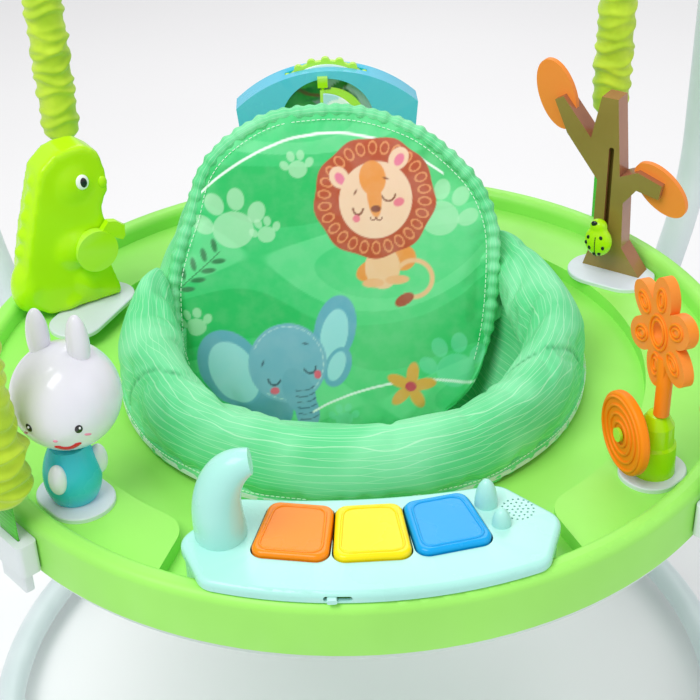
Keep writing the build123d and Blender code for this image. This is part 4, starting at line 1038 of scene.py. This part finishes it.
sleeve_green = sleeve_cloth()
SLEEVES = {  # azimuth in degrees, and mm from the rim up to the sleeve's lower end
    "rear_right": (40, 110), "rear_left": (140, 110), "front_left": (220, 22), "front_right": (320, 44)}
SLEEVE_TOP = 0.767
SLEEVE_R = 0.0165
SLEEVE_STEPS, SLEEVE_ROUND = 250, 40
STRAP_R = 0.345
FOLDS = 60
FOLD_HALF = 0.0032         # half height of a fold
SLUMP_HEIGHT = 0.09
chance = np.random.default_rng(7)
for name, (azimuth, drop) in SLEEVES.items():
    bottom = RIM + drop * MM
    axis = STRAP_R * np.array([cos(radians(azimuth)), sin(radians(azimuth))])
    fold_rows = np.cumsum(chance.uniform(0.009, 0.016, FOLDS)) + bottom
    fold_turn = chance.uniform(0, 2 * pi, FOLDS)
    fold_deep = chance.uniform(0.0012, 0.0030, FOLDS)
    points, flat, run = [], [], 0.0
    last = None
    for i in range(SLEEVE_STEPS):
        z = bottom + (SLEEVE_TOP - bottom) * i / (SLEEVE_STEPS - 1)
        row = []
        slump = max(0.0, 1 - (z - bottom) / SLUMP_HEIGHT) if drop < 50 else 0.0
        for j in range(SLEEVE_ROUND):
            a = 2 * pi * j / SLEEVE_ROUND
            swell = 0.0
            for fold, turn, deep in zip(fold_rows, fold_turn, fold_deep):
                if abs(fold - z) < 0.02:
                    sway = fold + 0.004 * sin(a + turn) + 0.002 * sin(3 * a + 2 * turn)
                    swell += deep * np.exp(-((z - sway) / FOLD_HALF) ** 2)
            neck = min(1.0, 0.78 + (z - bottom) / 0.02, 0.78 + (SLEEVE_TOP - z) / 0.02)
            r = SLEEVE_R * neck + swell * (1 + 1.6 * slump) + 0.004 * slump
            row.append((axis[0] + r * cos(a), axis[1] + r * sin(a), z))
        row = np.array(row)
        if last is not None:
            run += float(np.mean(np.linalg.norm(row - last, axis=1)))
        last = row
        points.append(row)
        flat += [(run, j / SLEEVE_ROUND * 0.11) for j in range(SLEEVE_ROUND)]
    faces = quads(SLEEVE_STEPS, SLEEVE_ROUND, False, True)
    sleeve = finish_piece(f"sleeve_{name}", np.array(points).reshape(-1, 3), faces, "frame", sleeve_green,
                          "sleeve_fabric", np.array(flat))
    with shape_of(sleeve) as shape:
        bmesh.ops.recalc_face_normals(shape, faces=shape.faces)
        area = sum(face.calc_area() for face in shape.faces)
    wall(sleeve, 0.0008)
    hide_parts("spring_sleeves")
    print(f"sleeve {name}: hangs {SLEEVE_TOP - bottom:.3f} m, cut {run:.3f} m")

# %% [markdown]
# ## Webbing
# The tray hangs from the springs on four flat straps of ribbed webbing. A strap is a thin rounded strip
# swept straight down. Its ribs are real: the section's thickness rises and falls along it.

# %% Straps


def webbing_cloth():
    made, tree, shader, _ = blank("ribbed webbing")
    where = flat_mm(tree)
    ribs, thread = bands(tree, where, "X", 0.21), bands(tree, where, "Y", 0.5)
    surface(tree, shader, blend_colour(tree, ribs, hexa("2FB808"), hexa("55E01C")), 0.6, sheen=0.3)
    height = maths(tree, "MULTIPLY_ADD", ribs, 1.0, maths(tree, "MULTIPLY", thread, 0.4))
    set_bump(tree, shader, height, 0.5, 0.0006)
    return made


webbing_green = webbing_cloth()
STRAP_TOP, STRAP_BOTTOM = 0.590, 0.358
STRAP_HALF = 0.0125
STRAP_RIB = 0.0024         # from rib to rib
strap_t = np.linspace(0, 1, 320)
for name, (azimuth, _) in SLEEVES.items():
    out = np.array([cos(radians(azimuth)), sin(radians(azimuth)), 0.0])
    line = STRAP_R * out + np.outer(STRAP_TOP + (STRAP_BOTTOM - STRAP_TOP) * strap_t, [0, 0, 1])
    length = (STRAP_TOP - STRAP_BOTTOM) * strap_t

    def strap_section(i):
        rib = 0.00065 + 0.00015 * sin(2 * pi * length[i] / STRAP_RIB)
        lower = [(-1, -0.5), (-0.97, -1), (0, -1.1), (0.97, -1), (1, -0.5)]
        return np.array(lower + [(-x, -y) for x, y in lower]) * (STRAP_HALF, rib)

    strap = tube(f"strap_{name}", line, strap_section, "tray", webbing_green, "webbing", up=out,
                 along=length, round_=0.053)
    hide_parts("webbing_straps")


# %% [markdown]
# ## Stitches
# A seam is hundreds of equal stitches on one line, which is work for Geometry Nodes: the line is cut into
# steps of one pitch, a little thread is set on each step along the line's direction, and all of them are
# made real. One tree serves every seam, with the pitch, the stitch and the thread as its inputs.

# %% Stitch tree


def thread_finish():
    made, tree, shader, here = blank("sewing thread")
    body = blend_colour(tree, noise(tree, here, 400.0), hexa("D9F7DF"), hexa("F3FFF5"))
    surface(tree, shader, body, 0.6)
    return made


def stitch_nodes(material):
    tree = bpy.data.node_groups.new("stitches", "GeometryNodeTree")
    tree.interface.new_socket("Geometry", in_out="INPUT", socket_type="NodeSocketGeometry")
    for name in ("Pitch", "Stitch", "Thread"):
        tree.interface.new_socket(name, in_out="INPUT", socket_type="NodeSocketFloat")
    tree.interface.new_socket("Geometry", in_out="OUTPUT", socket_type="NodeSocketGeometry")
    source, result = tree.nodes.new("NodeGroupInput"), tree.nodes.new("NodeGroupOutput")
    line = tree.nodes.new("GeometryNodeMeshToCurve")
    steps = tree.nodes.new("GeometryNodeResampleCurve")
    steps.mode = "LENGTH"
    thread = tree.nodes.new("GeometryNodeMeshCylinder")
    thread.inputs["Vertices"].default_value = 6
    tangent = tree.nodes.new("GeometryNodeInputTangent")
    turn = tree.nodes.new("FunctionNodeAlignRotationToVector")
    turn.axis = "Z"
    sewn = tree.nodes.new("GeometryNodeInstanceOnPoints")
    real = tree.nodes.new("GeometryNodeRealizeInstances")
    finish = tree.nodes.new("GeometryNodeSetMaterial")
    finish.inputs["Material"].default_value = material
    for giver, out, taker, into in (
            (source, "Geometry", line, "Mesh"), (line, "Curve", steps, "Curve"),
            (source, "Pitch", steps, "Length"), (source, "Stitch", thread, "Depth"),
            (source, "Thread", thread, "Radius"), (tangent, 0, turn, "Vector"),
            (steps, "Curve", sewn, "Points"), (thread, "Mesh", sewn, "Instance"),
            (turn, "Rotation", sewn, "Rotation"), (sewn, 0, real, 0),
            (real, 0, finish, "Geometry"), (finish, 0, result, 0)):
        tree.links.new(giver.outputs[out], taker.inputs[into])
    return tree


sewing_thread = thread_finish()
stitches = stitch_nodes(sewing_thread)


def sew(name, points, body, pitch=0.0042, stitch=0.0028, thread=0.00035):
    """Stitches along the points."""
    mesh = bpy.data.meshes.new(name)
    edges = [(i, i + 1) for i in range(len(points) - 1)]
    mesh.from_pydata([tuple(map(float, p)) for p in points], edges, [])
    piece = new_piece(name, mesh, body, "seat_fabric")
    needle = piece.modifiers.new("stitches", "NODES")
    needle.node_group = stitches
    values = {"Pitch": pitch, "Stitch": stitch, "Thread": thread}
    for item in stitches.interface.items_tree:
        if item.in_out == "INPUT" and item.name in values:
            needle[item.identifier] = values[item.name]
    sewn = settled(piece)
    if not sewn.materials:
        sewn.materials.append(sewing_thread)
    print(f"{name}: {len(sewn.vertices) // 12} stitches")


hem_seam = hem_line.copy()
hem_seam[:, :2] *= 1.0195
hem_seam[:, 2] += 0.0052
sew("hem_stitches", hem_seam, "seat")
sew("back_stitches", back_edge(-36, 210, 500, -0.0105, -0.0052), "seat", 0.0046, 0.003)

# %% [markdown]
# ## The dinosaur's skin
# The dinosaur is blow moulded: a round-edged body with no flat side. Its shape is built from a thick
# outline and a few balls for the thigh, the snout, the tail and the spines. Remeshing them together as
# one skin and smoothing it melts the joints, as a mould does.

# %% Organic shapes


def toy_axes(heading):
    """A toy's own directions: across, forward and up."""
    a = radians(heading)
    return np.array([[cos(a), sin(a), 0], [sin(a), -cos(a), 0], [0, 0, 1]])


def toy_space(x, y, heading):
    """Gives a function from a toy's own place (across, up, forward, in mm) to the room."""
    across, forward, _ = toy_axes(heading)
    origin = np.array([x, y, 0.0]) * MM + np.array([0, 0, RIM])

    def place(s, up, out=0.0):
        return origin + (across * s + forward * out) * MM + np.array([0, 0, up * MM])

    return place


def egg_mesh(shape, middle, radii, turn, axes):
    """Adds an ellipsoid to a bmesh. axes are its own three directions."""
    made = bmesh.ops.create_uvsphere(shape, u_segments=28, v_segments=16, radius=1.0)
    c, s = cos(turn), sin(turn)
    for vert in made["verts"]:
        px, py, pz = vert.co.x * radii[0], vert.co.y * radii[1], vert.co.z * radii[2]
        px, pz = px * c - pz * s, px * s + pz * c
        vert.co = Vector(middle) + Vector(axes[0]) * px + Vector(axes[1]) * py + Vector(axes[2]) * pz


def slab_mesh(shape, points, near, far):
    """Adds a thick outline to a bmesh: near and far are its two faces."""
    front = [shape.verts.new(near(*p)) for p in points]
    rear = [shape.verts.new(far(*p)) for p in points]
    shape.faces.new(front)
    shape.faces.new(rear[::-1])
    n = len(points)
    for i in range(n):
        shape.faces.new((front[i], rear[i], rear[(i + 1) % n], front[(i + 1) % n]))


def melted(name, shape, body, material, slot, voxel=0.0026, rounds=14):
    """Turns overlapping closed shapes into one smooth skin."""
    bmesh.ops.recalc_face_normals(shape, faces=shape.faces)
    mesh = bpy.data.meshes.new(name)
    shape.to_mesh(mesh)
    shape.free()
    piece = new_piece(name, mesh, body, slot)
    skin = piece.modifiers.new("skin", "REMESH")
    skin.mode = "VOXEL"
    skin.voxel_size = voxel
    soften = piece.modifiers.new("soften", "SMOOTH")
    soften.factor = 0.5
    soften.iterations = rounds
    shaped = settled(piece)
    shaped.materials.clear()
    shaped.materials.append(material)
    shaped.shade_smooth()
    return piece


def balls(name, body, material, slot, eggs):
    """A piece made of separate ellipsoids: (middle, radii, turn, own axes)."""
    shape = bmesh.new()
    for egg in eggs:
        egg_mesh(shape, *egg)
    mesh = bpy.data.meshes.new(name)
    shape.to_mesh(mesh)
    shape.free()
    mesh.shade_smooth()
    mesh.materials.append(material)
    new_piece(name, mesh, body, slot)


# %% Dinosaur
dino = toy_space(-238, 102, 30)
dino_axes = toy_axes(30)
DINO_FRONT, DINO_BACK = -6.0, -40.0
DINO_BODY = [(-38, -12), (-56, 2), (-58, 20), (-52, 50), (-44, 78), (-36, 104), (-28, 130), (-10, 144),
             (16, 145), (30, 134), (33, 118), (34, 96), (26, 82), (28, 60), (22, 40), (30, 14), (36, -12)]
DINO_LUMPS = [  # place, radii in mm, turn
    ((2, 110, -23), (34, 19.5, 34), 0.0),       # cheeks
    ((-6, 47, -21), (27, 20.5, 27), 0.0),       # shoulder
    ((2, 8, -14), (13, 12, 24), 0.45),          # thigh
    ((-14, -6, -13), (17, 10, 7), 0.3),         # foot
    ((-52, 18, -20), (15, 16, 26), -0.1)]       # tail
DINO_SPINES = [(-31, 116), (-37, 99), (-43, 84), (-48, 68), (-53, 52)]
shape = bmesh.new()
slab_mesh(shape, DINO_BODY, lambda s, up: dino(s, up, DINO_FRONT - 0.5), lambda s, up: dino(s, up, DINO_BACK))
for place, radii, lean in DINO_LUMPS + [((s, up, -21), (5.5, 6, 7.5), 0.2) for s, up in DINO_SPINES]:
    egg_mesh(shape, dino(*place), [radius * MM for radius in radii], lean, dino_axes)
dino_skin = melted("dino_skin", shape, "tray", toy_lime, "toy_lime")
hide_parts("dino_front", "dino_rear")
black = plastic("black paint", "16181C", 0.2, 0.6, 0.0, 0.0)
white_paint = plastic("white paint", "FAFBFF", 0.3, 0.0, 0.0, 0.0)
for name, material, slot, place, radii, lean in (
        ("dino_eye", white_paint, "toy_white", (9, 112, -4.3), (0.0062, 0.0022, 0.0074), 0.15),
        ("dino_pupil", black, "toy_white", (9.6, 112, -3.0), (0.0034, 0.0016, 0.0050), 0.15),
        ("dino_nostrils", toy_lime, "toy_lime", (29, 106, -7), (0.0042, 0.003, 0.006), 0.1)):
    balls(name, "tray", material, slot, [(dino(*place), radii, lean, dino_axes)])

# %% [markdown]
# ## The rabbit's face
# Eyes, cheek and mouth are small flattened drops on the head's skin. Each is placed by two angles, so it
# sits on the ball wherever the head is.

# %% Rabbit
HEAD_MIDDLE = np.array([-0.217, -0.174, 0.496])
HEAD_R = 0.041
DROP_DEPTH = 0.0009


def on_head(azimuth, height, grow):
    """A place on the head's ball, and the directions across it, out of it and up it."""
    a, h = radians(azimuth), radians(height)
    out = np.array([cos(a) * cos(h), sin(a) * cos(h), sin(h)])
    across = np.array([-sin(a), cos(a), 0])
    return HEAD_MIDDLE + out * (HEAD_R + grow), np.array([across, out, np.cross(across, out)])


def face_drop(name, material, marks):
    """Drops on the head: (azimuth, height, half width and half height in mm, turn, mm proud)."""
    eggs = []
    for azimuth, height, wide, high, turn, grow in marks:
        middle, axes = on_head(azimuth, height, grow * MM)
        eggs.append((middle, (wide * MM, DROP_DEPTH, high * MM), turn, axes))
    balls(name, "tray", material, "toy_white", eggs)


pink = plastic("pink paint", "F59AB4", 0.4, 0.0, 0.0, 0.0)
red = plastic("red paint", "DD2A2E", 0.35, 0.0, 0.0, 0.0)
face_drop("bunny_eyes", black, [(-71, -6, 2.9, 3.7, 0, 0.0), (-124, -6, 2.9, 3.7, 0, 0.0)])
face_drop("bunny_glints", white_paint, [(-70, -4, 0.8, 1.0, 0, 0.9), (-123, -4, 0.8, 1.0, 0, 0.9)])
face_drop("bunny_cheeks", pink, [(-62, -17, 3.0, 1.0, 0.4, 0.0), (-133, -17, 3.0, 1.0, -0.4, 0.0)])
face_drop("bunny_mouth", red, [
    (-97 + 2.6 * k, 0.30 * (k - 4) ** 2 - 37, 2.8, 3.0 - 0.24 * abs(k - 4), 0, 0.1) for k in range(10)])
face_drop("bunny_nose", pink, [(-97, -20, 1.8, 1.2, 0, 0.1)])

# %% [markdown]
# ## Ladybird, tree and flowers
# The ladybird gets a head, a parting line and spots. The tree's front face is printed a darker olive
# than its sides, which the material finds from the direction that a face points in. The flower's petals
# and the ring's rim are embossed with thin ridges, each a small closed tube.

# %% Ladybird and bark
tree = toy_space(254, 124, -36)
tree_axes = toy_axes(-36)
BUG_S, BUG_UP, BUG_OUT = -9, 24, 19
shape = bmesh.new()
egg_mesh(shape, tree(BUG_S, BUG_UP, BUG_OUT - 4), (0.0135, 0.0085, 0.0155), 0.0, tree_axes)
egg_mesh(shape, tree(BUG_S - 1, BUG_UP + 15, BUG_OUT - 5), (0.0085, 0.0068, 0.0072), 0.0, tree_axes)
bug = melted("ladybug_shell", shape, "ladybird", toy_lime, "toy_lime", 0.0016, 4)
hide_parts("ladybug")
BUG_SPOTS = [(-7.5, 5), (-5.5, -5), (-1.0, -11), (5.0, 7), (7.5, -3), (4.0, -10), (-9.5, -1)]


def bug_mark(s, up, wide=0.0017, high=0.0021):
    """A flat drop on the ladybird's shell."""
    out = 8.5 * np.sqrt(max(0.0, 1 - (s / 13.5) ** 2 - (up / 15.5) ** 2))
    return tree(BUG_S + s, BUG_UP + up, BUG_OUT - 4 + out - 0.1), (wide, 0.0008, high), 0.0, tree_axes


parting = [bug_mark(0, -14 + 2.0 * k, 0.0004, 0.0013) for k in range(11)]
eye = (tree(BUG_S - 3.5, BUG_UP + 19, BUG_OUT), (0.0032, 0.0016, 0.0026), 0.4, tree_axes)
balls("ladybug_spots", "ladybird", black, "toy_lime",
      [bug_mark(*spot) for spot in BUG_SPOTS] + parting + [eye])


def two_tone_bark():
    made, graph, shader, here = blank("two tone bark")
    normal = add(graph, "NewGeometry").outputs["Normal"]
    facing = add(graph, "VectorMath", normal, tuple(tree_axes[1]), operation="DOT_PRODUCT").outputs["Value"]
    cloud = noise(graph, here, 24.0, 3.0)
    side_colour = blend_colour(graph, cloud, hexa("9C6043"), hexa("B07550"))
    face_colour = blend_colour(graph, cloud, hexa("8C7234"), hexa("A08644"))
    surface(graph, shader, blend_colour(graph, ramp(graph, facing, 0.75, 0.92), side_colour, face_colour),
            0.26, coat=0.15)
    set_bump(graph, shader, noise(graph, here, 55.0, 2.0), 0.12, 0.001)
    return made


dress(two_tone_bark(), "tree_trunk")

# %% Embossed flower and ring


def ridges(name, body, material, slot, rings, place, wire):
    """Thin oval ridges: (across, up, out, half width, half height, turn in degrees)."""
    turn = np.linspace(0, 2 * pi, 40, endpoint=False)
    verts, faces = [], []
    for s, up, out, wide, high, lean in rings:
        c, k = cos(radians(lean)), sin(radians(lean))
        oval = [(wide * cos(t), high * sin(t)) for t in turn]
        line = np.array([place(s + x * c - y * k, up + x * k + y * c, out) for x, y in oval])
        rows = swept(line, lambda i: circle(wire, 8), True, place(0, 0, 1) - place(0, 0, 0))
        start = len(verts)
        verts += list(rows.reshape(-1, 3))
        faces += [tuple(i + start for i in face) for face in quads(len(turn), 8, True, True)]
    piece = finish_piece(name, verts, faces, body, material, slot)
    face_outwards(piece)
    return piece


flowers = toy_space(222, -184, -75)
petals = [(-5 + 27 * cos(radians(a)), 108 + 27 * sin(radians(a)), a) for a in range(90, 450, 60)]
petal_rings = [(s, up, 4.2, wide, high, a) for wide, high in ((9.0, 6.0), (5.0, 3.0)) for s, up, a in petals]
heart_rings = [(-5, 108, 4.4, 8.0, 10.0, 0), (-5, 108, 4.4, 12.0, 13.5, 0)]
ridges("petal_ridges", "tray", silicone, "silicone_orange", petal_rings + heart_rings, flowers, 0.0011)
ridges("ring_ridges", "ring", silicone, "silicone_orange",
       [(-4, 24, 28.2, r, r, 0) for r in (29, 22.5, 16, 9.5)], flowers, 0.0012)

# %% [markdown]
# ## Keys, arch and window
# Each piano key has a raised border. The round window in the arch shows a small painted jungle, and the
# page in front of it half a sky.

# %% Key borders
KEY_R, KEY_LENGTH, KEY_WIDTHS, KEY_STEP, KEY_TOP = 269, 58, (47, 56), 11.4, 433
BORDER_IN = 5              # mm from a key's edge in to its border


def rounded(corners, radius, steps=8):
    """A closed outline with its corners rounded."""
    corners = np.asarray(corners, dtype=float)
    out = []
    for i, corner in enumerate(corners):
        before = corners[i - 1] - corner
        after = corners[(i + 1) % len(corners)] - corner
        a = corner + before / np.linalg.norm(before) * radius
        b = corner + after / np.linalg.norm(after) * radius
        for t in np.linspace(0, 1, steps):
            out.append((1 - t) ** 2 * a + 2 * t * (1 - t) * corner + t * t * b)
    return np.array(out)


near, far, half = KEY_WIDTHS[0] / 2 - BORDER_IN, KEY_WIDTHS[1] / 2 - BORDER_IN, KEY_LENGTH / 2 - BORDER_IN
border = rounded(
    [(-near, half - KEY_R), (near, half - KEY_R), (far, -half - KEY_R), (-far, -half - KEY_R)], 9)
for place, name, material in ((-1, "orange", orange_key), (0, "yellow", yellow_key), (1, "blue", blue_key)):
    turn = radians(place * KEY_STEP)
    x = border[:, 0] * cos(turn) - border[:, 1] * sin(turn)
    y = border[:, 0] * sin(turn) + border[:, 1] * cos(turn)
    line, _ = spaced(np.stack([x, y, np.full(len(x), KEY_TOP)], axis=1) * MM, 120, True)
    tube(f"{name}_key_border", line, lambda i: circle(0.0011, 8, 0.7), f"{name}_key", material, f"key_{name}",
         closed=True)

# %% Window and page
ARCH_Y = 291
arch = toy_space(-8, ARCH_Y, 0)
DISC_RINGS, DISC_ROUND = 26, 96


def disc_picture(name, body, middle_up, radius, out, draw, half=False, s0=0.0):
    """A painted disc (or its right half) facing forward, with its middle at (s0, middle_up, out)."""
    verts, flat = [], []
    start, span = (-pi / 2, pi) if half else (0, 2 * pi)
    columns = DISC_ROUND // 2 + 1 if half else DISC_ROUND
    for i in range(DISC_RINGS):
        r = radius * i / (DISC_RINGS - 1) + (0.01 if i == 0 else 0)
        for j in range(columns):
            a = start + span * j / (columns - 1 if half else columns)
            s, up = r * cos(a), r * sin(a)
            verts.append(arch(s0 + s, middle_up + up, out))
            flat.append((s * MM, up * MM))
    faces = quads(DISC_RINGS, columns, False, not half)
    made, graph, shader, here = blank(name + " paint")
    ink = add(graph, "Attribute", attribute_name="print").outputs["Color"]
    faded = ramp(graph, noise(graph, here, 60.0), 0.3, 0.7, 0.0, 0.06)
    surface(graph, shader, blend_colour(graph, faded, ink, (1, 1, 1, 1)), 0.3, coat=0.3)
    piece = finish_piece(name, verts, faces, body, made, "toy_lime", np.array(flat))
    with shape_of(piece) as shape:
        shape.normal_update()
        if sum(face.normal.y for face in shape.faces) > 0:
            bmesh.ops.reverse_faces(shape, faces=shape.faces)
    art = Print(flat_of(piece) * 1000)
    draw(art)
    art.onto(piece)
    wall(piece, 0.0008)


def jungle(art):
    art.lay(np.ones_like(art.x), "D8EFE9")
    for x, y, wide, high, code, turn in (
            (-20, -24, 26, 16, "7E878C", 8), (8, -30, 24, 15, "97A0A3", -6), (-6, 2, 18, 26, "A8B0B2", 12),
            (-8, 20, 12, 14, "8A9396", 0)):
        art.spot(x, y, wide, high, code, turn)
    for k in range(11):
        art.spot(-30 + 3 * k % 17, 8 + 3.0 * k, 15, 3.6, ("1F7A34", "3FA13D", "2B8F3A")[k % 3], -60 + 19 * k)
    for oval in (
            (-34, 14, 13, 5, "2E9A3C", 40), (-30, 30, 14, 4.5, "1F7A34", -20),
            (-14, 34, 14, 4, "59B84A", 24)):
        art.spot(*oval)
    art.arc(-4, 36, 26, 16, "7A5330", 8, 2.4, 0.2)
    art.spot(14, 30, 13, 4, "3FA13D", 30)
    art.spot(24, 16, 12, 4.5, "2B8F3A", -50)


def half_sky(art):
    art.lay(np.ones_like(art.x), "BFE3F2")
    for oval in (
            (10, -30, 30, 16, "8FCB5A", 12), (14, 22, 10, 5, "FFFFFF"), (21, 25, 8, 5, "FFFFFF"),
            (28, 21, 8, 4, "FFFFFF")):
        art.spot(*oval)
    for angle in (-20, 20, 60, 100):
        art.spot(14 + 9 * cos(radians(angle)), 2 + 9 * sin(radians(angle)), 9, 2.8, "4FB04A", angle)
    art.spot(9, -4, 3, 5, "F3E6C8", 0)


PROUD = 0.15               # mm that a picture stands out of its disc
page_low, page_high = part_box("picture_page")
wheel_low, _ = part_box("picture_wheel")
disc_picture("wheel_picture", "wheel", 92, 52, ARCH_Y - wheel_low.y / MM + PROUD, jungle)
page_middle = ((page_low.z + page_high.z) / 2 - RIM) / MM
page_radius = (page_high.z - page_low.z) / 2 / MM - 4.6
disc_picture("page_picture", "page", page_middle, page_radius, ARCH_Y - page_low.y / MM + PROUD, half_sky,
             half=True, s0=page_low.x / MM + 11)
